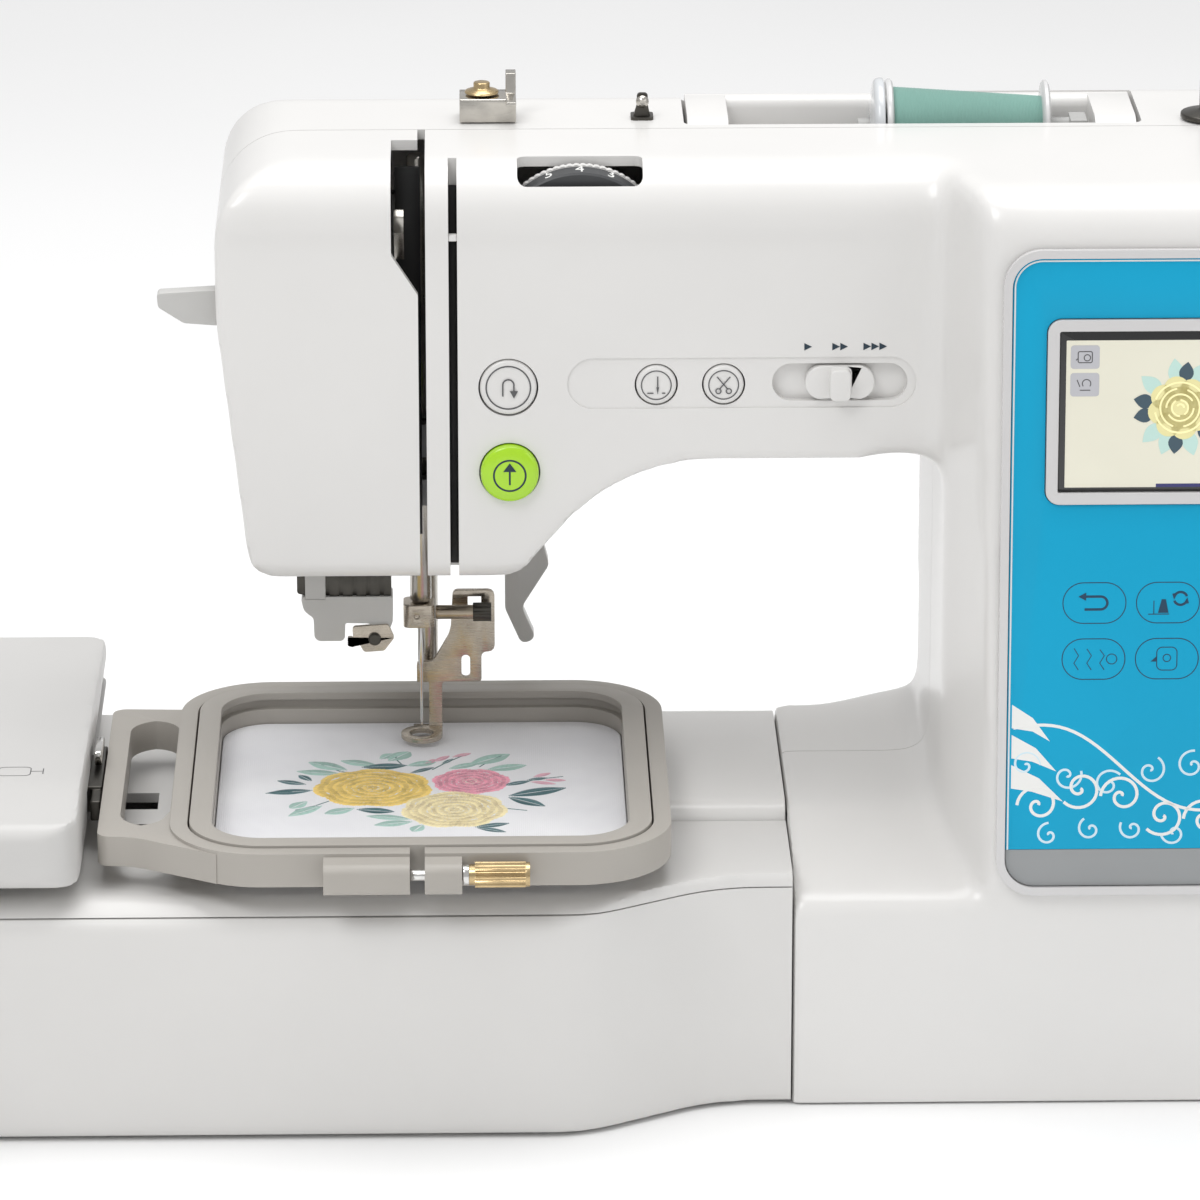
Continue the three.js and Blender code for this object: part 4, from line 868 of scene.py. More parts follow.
bpy.ops.object.select_all(action="DESELECT")
bpy.ops.mesh.primitive_grid_add(x_subdivisions=cloth["cells"], y_subdivisions=cloth["cells"], size=2)
sheetObject = bpy.context.active_object
sheetObject.name = "hoopedCloth"
for vertex in sheetObject.data.vertices:
    gx, gy = vertex.co.x, vertex.co.y
    # a square grid drawn onto the rounded outline of the hoop's opening
    corner = cloth["corner"]
    px, py = gx * clothHalfX, gy * clothHalfY
    ox, oy = abs(px) - (clothHalfX - corner), abs(py) - (clothHalfY - corner)
    if ox > 0 and oy > 0:
        reach = max(ox, oy)
        length = math.hypot(ox, oy)
        px = math.copysign(clothHalfX - corner + ox / length * reach, px)
        py = math.copysign(clothHalfY - corner + oy / length * reach, py)
    vertex.co = at(px, py + h["y"], clothZ + ripple(px, py + h["y"]))
solid = sheetObject.modifiers.new("thickness", "SOLIDIFY")
solid.thickness = cloth["thickness"] * mm
solid.offset = -1
applyAll(sheetObject)
tidyMesh(sheetObject, 1e-7)


def clothWeave(name):
    # cotton drill: fine crossing threads, a little fuzz and soft shading
    material, nodes, links, shader, place = newMaterial(name)
    mapping = nodes.new("ShaderNodeMapping")
    links.new(place.outputs["Object"], mapping.inputs["Vector"])
    waves = []
    for direction in ("X", "Y"):
        wave = nodes.new("ShaderNodeTexWave")
        wave.wave_type = "BANDS"
        wave.bands_direction = direction
        wave.inputs["Scale"].default_value = 520
        wave.inputs["Distortion"].default_value = 0.6
        wave.inputs["Detail"].default_value = 1
        links.new(mapping.outputs["Vector"], wave.inputs["Vector"])
        waves.append(wave)
    weave = nodes.new("ShaderNodeMix")
    weave.data_type = "FLOAT"
    weave.inputs["Factor"].default_value = 0.5
    links.new(waves[0].outputs["Fac"], weave.inputs[2])
    links.new(waves[1].outputs["Fac"], weave.inputs[3])
    cloudy = noiseNode(nodes, links, place, 22, 3)
    ramp = rampBetween(nodes, links, cloudy.outputs["Fac"], (0.76, 0.76, 0.79), (0.84, 0.84, 0.86))
    links.new(ramp.outputs["Color"], shader.inputs["Base Color"])
    shader.inputs["Roughness"].default_value = 0.9
    shader.inputs["Sheen Weight"].default_value = 0.25
    shader.inputs["Sheen Roughness"].default_value = 0.4
    fuzz = noiseNode(nodes, links, place, 3000, 2)
    first = bumpNode(nodes, links, fuzz.outputs["Fac"], 0.25, 0.0001, None)
    bumpNode(nodes, links, weave.outputs[0], 0.5, 0.00012, shader, before=first)
    return material


def threadSheen(name, base):
    # rayon thread: bright along each strand, its shade taken from the strand's own tint
    material, nodes, links, shader, place = newMaterial(name)
    tint = nodes.new("ShaderNodeAttribute")
    tint.attribute_name = "tint"
    dark = tuple(c * 0.62 for c in base)
    light = tuple(min(1, c * 1.12 + 0.05) for c in base)
    ramp = rampBetween(nodes, links, tint.outputs["Fac"], dark, light, 0.0, 1.0)
    links.new(ramp.outputs["Color"], shader.inputs["Base Color"])
    fine = noiseNode(nodes, links, place, 1800, 2)
    spread = rangeNode(nodes, links, fine.outputs["Fac"], 0.30, 0.5)
    links.new(spread.outputs["Result"], shader.inputs["Roughness"])
    bumpNode(nodes, links, fine.outputs["Fac"], 0.3, 0.0001, shader)
    shader.inputs["Sheen Weight"].default_value = 0.15
    return material


settle(sheetObject, clothWeave("cottonDrill"), "cloth", angle=60)

# embroidery: every satin stitch is one strand lying across its shape
print("embroidery")
draw = random.Random(11)
stitching = {"width": 0.62, "height": 0.38, "sink": 0.12, "shortest": 0.25, "rosePitch": 0.52,
    "leafPitch": 0.5, "stemPitch": 1.1}


def strandMesh(name, strands, base):
    # strands are (x0, y0, x1, y1, tint): each is a closed spindle with a flat foot
    vertices, faces, tints = [], [], []
    for x0, y0, x1, y1, tint in strands:
        length = math.hypot(x1 - x0, y1 - y0)
        if length < stitching["shortest"]:
            continue
        ux, uy = (x1 - x0) / length, (y1 - y0) / length
        nx, ny = -uy * stitching["width"] / 2, ux * stitching["width"] / 2
        start = len(vertices)
        lift = stitching["height"] * min(1, 0.45 + length / 6)
        rings = ((0.16, 0.8), (0.84, 0.8))
        ground = clothZ - stitching["sink"]
        vertices.append(at(x0, y0, ground + ripple(x0, y0)))
        for share, full in rings:
            px, py = x0 + (x1 - x0) * share, y0 + (y1 - y0) * share
            pz = ground + ripple(px, py)
            vertices.append(at(px - nx, py - ny, pz))
            vertices.append(at(px - nx * 0.5, py - ny * 0.5, pz + lift * full))
            vertices.append(at(px + nx * 0.5, py + ny * 0.5, pz + lift * full))
            vertices.append(at(px + nx, py + ny, pz))
        vertices.append(at(x1, y1, ground + ripple(x1, y1)))
        a, e = start, start + 9
        r, s = start + 1, start + 5
        for i in range(4):
            j = (i + 1) % 4
            faces.append((a, r + j, r + i))
            faces.append((r + i, r + j, s + j, s + i))
            faces.append((s + i, s + j, e))
        tints.extend([tint] * 10)
    mesh = bpy.data.meshes.new(name)
    mesh.from_pydata(vertices, [], faces)
    layer = mesh.attributes.new("tint", "FLOAT", "POINT")
    for item, tint in zip(layer.data, tints):
        item.value = tint
    obj = bpy.data.objects.new(name, mesh)
    bpy.context.scene.collection.objects.link(obj)
    tidyMesh(obj, 0)  # nothing merged: neighbouring stitches stay apart
    return settle(obj, threadSheen(name + "Thread", base), rider="hoop", angle=50)


def roseStrands(cx, cy, radius, rings, phase, squash=1.0):
    # petals in turns round the heart: radial stitches, dark at each petal's root and pale at its lip
    strands = []
    for ring in range(rings):
        outer = radius * (1 - ring / rings) ** 0.9
        inner = radius * (1 - (ring + 1) / rings) ** 0.9 - 0.25
        petals = max(3, 7 - ring)
        steps = max(8, int(2 * math.pi * outer / stitching["rosePitch"]))
        for i in range(steps):
            angle = 2 * math.pi * i / steps
            lobe = abs(math.cos(petals / 2 * (angle + phase + ring * 0.9)))
            reach = outer * (0.93 + 0.09 * lobe)
            root = max(0.2, inner * (0.9 + 0.08 * lobe))
            middle = (reach + root) / 2
            slant = 0.05 * math.sin(angle * 3 + ring)
            for near, far, tone in ((middle * 0.99, reach, 0.55 + 0.4 * lobe),
                (root, middle * 1.03, 0.10 + 0.45 * lobe)):
                wobble = draw.uniform(-0.25, 0.25)
                strands.append((
                    cx + math.cos(angle + slant) * (near + wobble),
                    cy + math.sin(angle + slant) * (near + wobble) * squash,
                    cx + math.cos(angle) * (far + wobble),
                    cy + math.sin(angle) * (far + wobble) * squash,
                    min(1, max(0, tone + draw.uniform(-0.18, 0.18))),
                ))
    return strands


def leafStrands(x0, y0, x1, y1, width, tone=0.5, split=True):
    # a pointed leaf: slanting stitches from its vein to its edge on both sides
    length = math.hypot(x1 - x0, y1 - y0)
    ux, uy = (x1 - x0) / length, (y1 - y0) / length
    strands = []
    steps = max(5, int(length / stitching["leafPitch"]))
    for i in range(steps):
        share = (i + 0.5) / steps
        half = width / 2 * math.sin(math.pi * share ** 0.8)
        mx, my = x0 + (x1 - x0) * share, y0 + (y1 - y0) * share
        for side in (-1, 1):
            ex = mx - uy * half * side + ux * half * 0.55
            ey = my + ux * half * side + uy * half * 0.55
            shade = tone + (0.18 if side > 0 and split else -0.12) + draw.uniform(-0.1, 0.1)
            strands.append((mx, my, ex, ey, min(1, max(0, shade))))
    return strands


def stemStrands(points, tone=0.4):
    strands = []
    for (x0, y0), (x1, y1) in zip(points, points[1:]):
        count = max(1, int(math.hypot(x1 - x0, y1 - y0) / stitching["stemPitch"]))
        for i in range(count):
            a, e = i / count, min(1, (i + 1.25) / count)
            strands.append((x0 + (x1 - x0) * a, y0 + (y1 - y0) * a, x0 + (x1 - x0) * e,
                y0 + (y1 - y0) * e, tone))
    return strands


strandMesh("goldenRose", roseStrands(-14.3, -39.2, 17.6, 6, 0.3, 0.92), (0.86, 0.60, 0.13))
strandMesh("creamRose", roseStrands(9.6, -58.2, 15.6, 6, 1.1, 0.98), (0.92, 0.74, 0.42))
strandMesh("pinkRose", roseStrands(14.6, -34.3, 11.6, 5, 0.7, 0.95), (0.84, 0.32, 0.43))
hearts, heartStitches = [], 46
for cx, cy, size in ((-14.3, -39.2, 4.6), (9.6, -58.2, 4.4), (14.6, -34.3, 3.0)):
    for i in range(heartStitches):
        angle, reach = i * 2.4, size * math.sqrt(i / heartStitches)
        px, py = cx + reach * math.cos(angle), cy + reach * math.sin(angle)
        hearts.append((px - 0.5, py - 0.3, px + 0.5, py + 0.3, draw.uniform(0.4, 1)))
strandMesh("roseHearts", hearts, (0.85, 0.80, 0.66))
tealLeaves = (
    (-32, -41, -46, -43.4, 4.6), (-34, -36, -43, -32.6, 3.6), (-32.5, -33, -36.5, -27.5, 3.2),
    (-18, -21.5, -4, -20, 5.6), (-19, -57.5, -7.5, -59.8, 5.0), (25.5, -47, 43, -40.5, 6.4),
    (25.5, -48, 36.5, -56.5, 5.4), (15.5, -73, 26, -70, 3.6), (16, -73.5, 25, -77.5, 3.2),
    (-3.5, -27, 4, -21.5, 2.6), (24, -38, 32.5, -34, 3.2), (31, -33.5, 37.5, -31.8, 2.6),
    (6, -19, 9.5, -14, 1.8),
)
sageLeaves = (
    (-22, -24, -34, -16.5, 6.2), (-24, -27, -37.5, -24.5, 5.0), (-13, -20, -24.5, -15.5, 5.4),
    (-10, -16, -3.5, -8.2, 6.6), (-12.5, -14, -8.5, -9.5, 4.6), (-4.5, -20.5, 4.5, -17, 4.8),
    (-33.5, -50, -38.5, -56.5, 4.8), (-29, -54, -39, -63.5, 5.0), (-19.5, -56.5, -28.5, -61.5, 5.2),
    (-3, -66, -16.5, -63, 4.6), (-2.5, -68, -14, -71.5, 5.2), (0.5, -70.5, -2.5, -76.5, 4.6),
    (14, -20, 26.5, -10.8, 7.2), (19, -24.5, 31.5, -20.5, 5.6), (8, -23, 17.5, -18, 4.2),
)
strandMesh("tealLeaves", [s for leaf in tealLeaves for s in leafStrands(*leaf, tone=0.35)],
    (0.035, 0.15, 0.17))
strandMesh("sageLeaves", [s for leaf in sageLeaves for s in leafStrands(*leaf, tone=0.6)],
    (0.36, 0.56, 0.50))
stems = (
    ((-8, -10), (-7.5, -15), (-6, -19)), ((24, -12), (20, -17), (17, -22)),
    ((3, -24), (7, -18), (12, -12)),
    ((-37, -58), (-31, -54), (-27, -50)), ((-46, -43.5), (-38, -42)), ((26, -38), (34, -33), (42, -31)),
    ((-15, -64), (-6, -66)), ((-30, -19), (-24, -25), (-20, -27)), ((25, -58), (31, -60)),
)
strandMesh("flowerStems", [s for stem in stems for s in stemStrands(stem)], (0.045, 0.17, 0.17))
buds = []
for x0, y0, x1, y1 in ((3.5, -17, 8.5, -11.5), (9, -13, 15, -9.5), (32, -35, 40, -37.5),
    (33, -31, 38.5, -27.5),
                       (36, -33.5, 43, -34.5), (1, -20, 4, -14.5)):
    buds += leafStrands(x0, y0, x1, y1, 2.6, tone=0.6)
strandMesh("pinkBuds", buds, (0.72, 0.34, 0.44))

# control panel
print("control panel")
p = panel
panelPlan = boxCorners(-p["halfWidth"], p["halfWidth"], 0, p["height"], p["corner"])
screenFoot = p["screenMiddle"] - p["screenHalfHeight"]
screenPlan = boxCorners(
    -p["screenHalfWidth"], p["screenHalfWidth"], screenFoot, screenFoot + 2 * p["screenHalfHeight"], 0.6)
framePlan = boxCorners(
    -p["screenHalfWidth"] - p["screenRim"], p["screenHalfWidth"] + p["screenRim"],
    screenFoot - p["screenRim"],
    screenFoot + 2 * p["screenHalfHeight"] + p["screenRim"], 4)
bezel = roundPrism("bezelRing", "z", panelPlan, 0, p["thickness"] + 1, 20)
cut(bezel, roundPrism("bezelHole", "z", offsetCorners(panelPlan, p["rim"]), -2, 9, 20))
bevelEdges(bezel, 0.7, 4, 40)
settle(placed(bezel, onPanel), bezelSilver, "panel_bezel", angle=50)
overlayPlan = offsetCorners(panelPlan, p["rim"] + 0.25)
overlay = roundPrism("blueOverlay", "z", overlayPlan, 0, p["thickness"], 20)
cut(
    overlay,
    roundPrism("frameHole", "z", offsetCorners(framePlan, -0.25), -2, 9, 10),
    block("bandRoom", -80, 80, -5, p["band"], -2, 9),
)
bevelEdges(overlay, 0.2, 2, 50)
settle(placed(overlay, onPanel), panelBlue, "panel_overlay", angle=50)
band = roundPrism("greyBand", "z", overlayPlan, 0, p["thickness"] - 0.02, 20)
cut(band, block("aboveBand", -80, 80, p["band"] - 0.05, 220, -2, 9))
bevelEdges(band, 0.15, 2, 50)
settle(placed(band, onPanel), bandGrey, rider="machine", angle=50)
screenFrame = roundPrism("screenFrameRing", "z", framePlan, 0, p["thickness"] + 0.9, 10)
cut(screenFrame, roundPrism("screenHole", "z", screenPlan, -2, 9, 4))
bevelEdges(screenFrame, 0.9, 4, 40)
settle(placed(screenFrame, onPanel), bezelSilver, "lcd_frame", angle=50)
glass = roundPrism("screenGlass", "z", offsetCorners(screenPlan, 0.2), 0, 1.0, 4)
settle(placed(bevelEdges(glass, 0.15, 2, 50), onPanel), screenBlack, "lcd_screen", angle=50)


def inked(name, material, *pieces, place=onPanel, rider="machine"):
    obj = joinAll(name, list(pieces))
    return settle(placed(obj, place), material, rider=rider, angle=50)


pictureLeft, pictureRight = -p["screenHalfWidth"] + 2.0, p["screenHalfWidth"] - 1.8
pictureLow, pictureHigh = screenFoot + 1.4, screenFoot + 2 * p["screenHalfHeight"] - 2.8
picture = roundPrism("screenPicture", "z",
    boxCorners(pictureLeft, pictureRight, pictureLow, pictureHigh, 0.2), 0.9, 1.05, 2)
inked("screenPicture", screenGlow("creamScreen", (0.74, 0.72, 0.60), 0.12), picture)
softKeys = [
    roundPrism("softKey", "z", boxCorners(pictureLeft + 1.2, pictureLeft + 9.4, top - 6.8, top, 0.9),
    1.0, 1.12, 4)
    for top in (pictureHigh - 1.4, pictureHigh - 9.4)
]
inked("softKeys", screenGlow("softKeyGrey", (0.50, 0.50, 0.53), 0.06), *softKeys)
kx = pictureLeft + 5.3
ky1, ky2 = pictureHigh - 4.8, pictureHigh - 12.8
inked(
    "softKeyIcons", greyInk,
    lineWork("keyIconA", [
        (pillPoints(kx, ky1, 2.0, 1.6, 0.5), True), (arcPoints(kx + 0.6, ky1 - 0.2, 0.9, 0, 360), True),
        ([(kx - 2.6, ky1 - 0.9), (kx - 2.0, ky1 - 0.4)], False),
    ], 0.3, 1.14),
    lineWork("keyIconB", [
        (arcPoints(kx + 0.5, ky2 + 0.3, 1.2, -40, 220), False),
        ([(kx - 2.2, ky2 + 1.4), (kx - 1.4, ky2 - 0.6)], False),
        ([(kx - 1.4, ky2 - 1.6), (kx + 1.6, ky2 - 1.6)], False),
    ], 0.3, 1.14),
)


def petalRing(cx, cy, radius, count, size, phase, height):
    petals = []
    for i in range(count):
        angle = phase + 2 * math.pi * i / count
        px, py = cx + radius * math.cos(angle), cy + radius * math.sin(angle)
        outline = arcPoints(px, py, size, 0, 345, 22)
        petals.append(prism("petal", "z", outline, height, height + 0.05))
    return petals


def leafShape(x0, y0, x1, y1, width, height):
    length = math.hypot(x1 - x0, y1 - y0)
    ux, uy = (x1 - x0) / length, (y1 - y0) / length
    side = []
    for i in range(9):
        share = i / 8
        half = width / 2 * math.sin(math.pi * share)
        side.append((x0 + (x1 - x0) * share, y0 + (y1 - y0) * share, half))
    outline = [(x - uy * w, y + ux * w) for x, y, w in side] + [(x + uy * w, y - ux * w) for x, y,
        w in side[-2:0:-1]]
    return prism("leaf", "z", outline, height, height + 0.05)


# the picture on the screen: three round roses with leaves
roseX, roseY = -7.5, p["screenMiddle"] + 1.0
inked("pictureSage", screenGlow("pictureSageGreen", (0.50, 0.70, 0.64), 0.1), *[
    leafShape(roseX + a * 6, roseY + e * 6, roseX + a * 14.5, roseY + e * 14.5, 4.6, 1.07)
    for a, e in ((math.cos(t), math.sin(t)) for t in (1.1, 1.7, 2.45, 3.9, 4.35, 5.0, 0.2))
])
inked("pictureTeal", screenGlow("pictureDarkTeal", (0.05, 0.09, 0.12), 0.05), *[
    leafShape(roseX + a * 7, roseY + e * 7, roseX + a * 13.5, roseY + e * 13.5, 4.2, 1.09)
    for a, e in ((math.cos(t), math.sin(t)) for t in (1.42, 2.95, 3.35, 4.6, 5.5))
])
for name, cx, cy, size, colour in (
    ("pictureYellow", roseX, roseY, 8.6, (0.78, 0.72, 0.36)),
    ("picturePink", roseX + 20, roseY + 4, 7.2, (0.72, 0.36, 0.42)),
    ("pictureCream", roseX + 15, roseY - 8, 6.4, (0.80, 0.66, 0.42)),
):
    inked(name, screenGlow(name + "Base", colour, 0.1),
          *petalRing(cx, cy, size * 0.66, 8, size * 0.42, 0.2, 1.11),
          *petalRing(cx, cy, 0, 1, size * 0.72, 0, 1.11))
    pale = tuple(min(1, v * 1.18 + 0.06) for v in colour)
    inked(name + "Petals", screenGlow(name + "Pale", pale, 0.12), lineWork("petalLines", [
        (arcPoints(cx, cy, size * share, start, start + 150, 20), False)
        for share, start in ((0.86, 10), (0.84, 190), (0.66, 100), (0.64, 280), (0.46, 30), (0.44, 210),
                             (0.28, 120), (0.26, 300), (0.12, 0))
    ], 0.55, 1.18))
inked("pictureBar", screenGlow("pictureNavy", (0.04, 0.04, 0.16), 0.05),
      roundPrism("bar", "z", boxCorners(-14, pictureRight, pictureLow, pictureLow + 1.0, 0), 1.04, 1.1,
      1))

# membrane keys: printed ovals, each with its own small drawing
keys = {"x": -30.9, "pitch": 21, "rows": (87.0, 70.4), "halfWidth": 9.0, "halfHeight": 6.0, "line": 0.3,
        "boldLine": 0.75, "ink": 1.5}
keyLines, keyBold, keyShapes = [], [], []
for column in range(4):
    for row, ky in enumerate(keys["rows"]):
        kx = keys["x"] + column * keys["pitch"]
        keyLines.append((pillPoints(kx, ky, keys["halfWidth"], keys["halfHeight"], 5.9), True))
        drawing = column + 4 * row
        if drawing == 0:  # go back
            hook = [(kx - 2.4, ky + 1.9), (kx + 1.8, ky + 1.9)] + arcPoints(kx + 1.8, ky, 1.9, 90, -90,
                10)
            keyBold.append((hook + [(kx - 2.8, ky - 1.9)], False))
            keyShapes.append([(kx - 4.6, ky + 1.9), (kx - 2.4, ky + 0.7), (kx - 2.4, ky + 3.1)])
        elif drawing == 1:  # change the foot
            keyLines += [([(kx - 4, ky + 0.6), (kx - 4, ky - 3.4)], False),
                ([(kx - 5.6, ky - 3.4), (kx + 0.4, ky - 3.4)], False)]
            keyShapes.append([(kx - 1.8, ky + 1), (kx - 0.6, ky + 1), (kx + 0.2, ky - 3),
                (kx - 2.8, ky - 3)])
            keyBold += [(arcPoints(kx + 3.6, ky + 1.2, 1.9, 20, 150, 10), False),
                (arcPoints(kx + 3.6, ky + 1.2, 1.9, 200, 330, 10), False)]
            keyShapes += [[(kx + 1.2, ky + 2.6), (kx + 2.8, ky + 2.9), (kx + 1.7, ky + 0.9)],
                          [(kx + 6.0, ky - 0.2), (kx + 4.4, ky - 0.5), (kx + 5.5, ky + 1.5)]]
        elif drawing == 2:  # needle position
            keyBold.append(([(kx, ky + 3.4), (kx, ky - 1.2)], False))
            keyShapes.append([(kx - 0.7, ky - 1.0), (kx + 0.7, ky - 1.0), (kx, ky - 3.6)])
            keyLines.append(([(kx - 4, ky - 3.2), (kx - 1.6, ky - 3.2)], False))
        elif drawing == 3:  # home
            keyBold.append(([(kx - 3.2, ky - 0.2), (kx, ky + 3.2), (kx + 3.2, ky - 0.2)], False))
            keyLines.append(([(kx - 2.1, ky), (kx - 2.1, ky - 3.2), (kx + 2.1, ky - 3.2),
                (kx + 2.1, ky)], False))
        elif drawing == 4:  # stitches
            for j in range(3):
                vx = kx - 5.6 + j * 3.7
                keyLines.append(([(vx, ky + 3.2 - j * 0.2), (vx + 1.3, ky + 1), (vx, ky - 1.2),
                    (vx + 1.3, ky - 3.2)], False))
            keyLines.append((arcPoints(kx + 5.2, ky, 1.5, 0, 360, 14), True))
        elif drawing == 5:  # hoop and flower
            keyLines.append((pillPoints(kx, ky, 2.9, 3.4, 1.6), True))
            keyLines.append((arcPoints(kx, ky + 0.2, 1.1, 0, 360, 12), True))
            keyShapes.append([(kx - 4.6, ky - 0.8), (kx - 2.9, ky + 0.8), (kx - 2.9, ky - 0.8)])
        elif drawing == 6:  # settings
            keyLines += [([(kx - 3.6, ky + v), (kx + 3.6, ky + v)], False) for v in (2.2, 0, -2.2)]
            keyBold += [(arcPoints(kx + s, ky + v, 0.5, 0, 360, 8), True) for s,
                v in ((-1.6, 2.2), (1.4, 0), (-0.4, -2.2))]
        else:  # tick
            keyBold.append(([(kx - 2.8, ky + 0.2), (kx - 0.8, ky - 2.2), (kx + 3.0, ky + 2.6)], False))
inked(
    "keyDrawings", keyInk,
    lineWork("keyOutlines", keyLines, keys["line"], keys["ink"]),
    lineWork("keyBoldLines", keyBold, keys["boldLine"], keys["ink"]),
    *[prism("keyShape", "z", shape, keys["ink"], keys["ink"] + 0.08) for shape in keyShapes],
)

# a pale flourish of curls fills the foot of the panel
flourish = {"line": 0.9, "paleLine": 0.7, "height": 1.5, "curls": 9, "pitch": 12}


def curl(cx, cy, size, start, turns, hand=1):
    points = []
    for i in range(40):
        share = i / 39
        angle = math.radians(start) + hand * share * turns * 2 * math.pi
        reach = size * (1 - share) ** 0.8
        points.append((cx + reach * math.cos(angle), cy + reach * math.sin(angle)))
    return points


whiteCurls, paleCurls = [], []
for i in range(flourish["curls"]):
    fx = -50 + i * flourish["pitch"]
    whiteCurls.append((curl(fx + 4, 27 + 5 * math.sin(i * 1.3), 6.2, 180 + 40 * (i % 2), 1.35,
        1 if i % 2 else -1), False))
    paleCurls.append((curl(fx, 36 + 3 * math.cos(i * 1.7), 4.4, 20 * i, 1.2, -1 if i % 2 else 1), False))
    paleCurls.append((curl(fx + 7, 18 + 2 * math.sin(i), 3.6, 90 + 30 * i, 1.1, 1), False))
sweep = [(-53.5 + t * 1.1, 50 - t * 0.42 + 5.5 * math.sin(t * 0.11)) for t in range(0, 96, 2)]
whiteCurls.append((sweep, False))
tongues = [
    [(-54, 57 - i * 9), (-48 + i, 53 - i * 9), (-43 + 2 * i, 46 - i * 9), (-48, 49 - i * 9),
    (-54, 50 - i * 9)] for i in range(3)
]
inked("flourishWhite", whiteInk, lineWork("whiteCurls", whiteCurls, flourish["line"],
    flourish["height"]),
      *[prism("tongue", "z", points, flourish["height"],
      flourish["height"] + 0.06) for points in tongues])
inked("flourishPale", paleInk, lineWork("paleCurls", paleCurls, flourish["paleLine"],
    flourish["height"]))
leftEdge = roundPrism("overlayEdge", "z", offsetCorners(overlayPlan, 0.35), p["thickness"] - 0.2,
    p["thickness"] + 0.05, 20)
cut(leftEdge, roundPrism("edgeHole", "z", offsetCorners(overlayPlan, 0.8), -2, 9, 20),
    block("edgeFoot", -80, 80, -5, p["band"], -2, 9))
inked("overlayEdgeLine", whiteInk, leftEdge)

# a small outline of a hoop on the carriage's top, which falls by 2.9 degrees to the back
onCarriage = Matrix.Translation(at(-117, -77, 99.4)) @ Matrix.Rotation(math.radians(-2.86), 4, "X")
inked("hoopMark", greyInk, lineWork("hoopMarkLines", [
    (pillPoints(0, 0, 4.6, 4.2, 1.8), True), ([(4.6, 0), (8.2, 0)], False),
    ([(8.2, 2.6), (8.2, -2.6)], False),
], 0.3, 0), place=onCarriage @ Matrix.Translation(-at(0, 0, 0)), rider="carriage")

# buttons, slider and thread tension wheel
print("controls")


def buttonCap(name, node, x, z, radius, proud, material, dish=0.0):
    face = faceY + 0.45 if node != "start_button" else faceY
    front = face - proud
    profile = [
        (radius * 0.6, faceY + 8), (radius * 0.6, faceY + 3.4), (radius, faceY + 3.2),
        (radius, front + 0.9),
        (radius - 0.25, front + 0.35), (radius - 0.8, front), (radius * 0.5, front + dish * 0.7),
        (0, front + dish),
    ]
    cap = lathe(name, "y", x, z, [(0, faceY + 8)] + profile, 96, 40)
    return settle(cap, material, node, angle=40)


for key, node in (("reverse", "reverse_button"), ("needle", "needle_button"),
    ("cutter", "cutter_button")):
    ctl = controls[key]
    buttonCap(key + "Cap", node, ctl["x"], ctl["z"], ctl["radius"], 0.75, whiteShell, 0.35)
ctl = controls["start"]
buttonCap("startCap", "start_button", ctl["x"], ctl["z"], ctl["radius"], ctl["proud"], limeLens, 0.0)
# each mark: its button, ink, height above the face, line width, lines and solid shapes
buttonMarks = (
    ("startArrow", "start", darkInk, 2.42, 0.55, [
        ([(0, -3.2), (0, 1.6)], False), (arcPoints(0, -0.4, 4.6, 0, 360, 40), True),
    ], [[(-1.9, 0.8), (1.9, 0.8), (0, 3.4)]]),
    ("reverseMark", "reverse", greyInk, 0.32, 0.42, [
        (arcPoints(0, 0, 6.4, 0, 360, 48), True),
        ([(-1.6, -2.6), (-1.6, 0.6)] + arcPoints(0, 0.8, 1.6, 180, 0, 12) + [(1.6, -1.2)], False),
    ], [[(0.4, -1.0), (2.8, -1.0), (1.6, -3.2)]]),
    ("needleMark", "needle", greyInk, 0.32, 0.34, [
        (arcPoints(0, 0, 4.3, 0, 360, 40), True), ([(0.4, 2.6), (0.4, -0.8)], False),
        ([(-2.6, -2.4), (-0.8, -2.4)], False), ([(1.6, -2.4), (2.6, -2.4)], False),
    ], [[(0.0, -0.6), (0.8, -0.6), (0.4, -2.8)]]),
    ("cutterMark", "cutter", greyInk, 0.32, 0.34, [
        (arcPoints(0, 0, 4.3, 0, 360, 40), True), ([(-1.9, 2.4), (1.1, -1.2)], False),
        ([(1.9, 2.4), (-1.1, -1.2)], False), (arcPoints(1.5, -1.9, 0.75, 0, 360, 12), True),
        (arcPoints(-1.5, -1.9, 0.75, 0, 360, 12), True),
    ], []),
)
for name, key, ink, height, width, lines, shapes in buttonMarks:
    ctl = controls[key]
    solids = [prism("markShape", "z", shape, 0, 0.08) for shape in shapes]
    inked(name, ink, lineWork(name + "Lines", lines, width, 0), *solids,
          place=facing(faceY - height, ctl["x"], ctl["z"]), rider=key + "_key")
marks = []
for mx, count in ((112.3, 1), (121.5, 2), (131.6, 3)):
    for i in range(count):
        left = mx + (i - count / 2) * 2.3
        marks.append(prism("mark", "z", [(left, -1.1), (left + 2.2, 0), (left, 1.1)], 0, 0.08))
inked("speedMarks", darkInk, *marks, place=facing(faceY - 0.02, 0, 217.2))

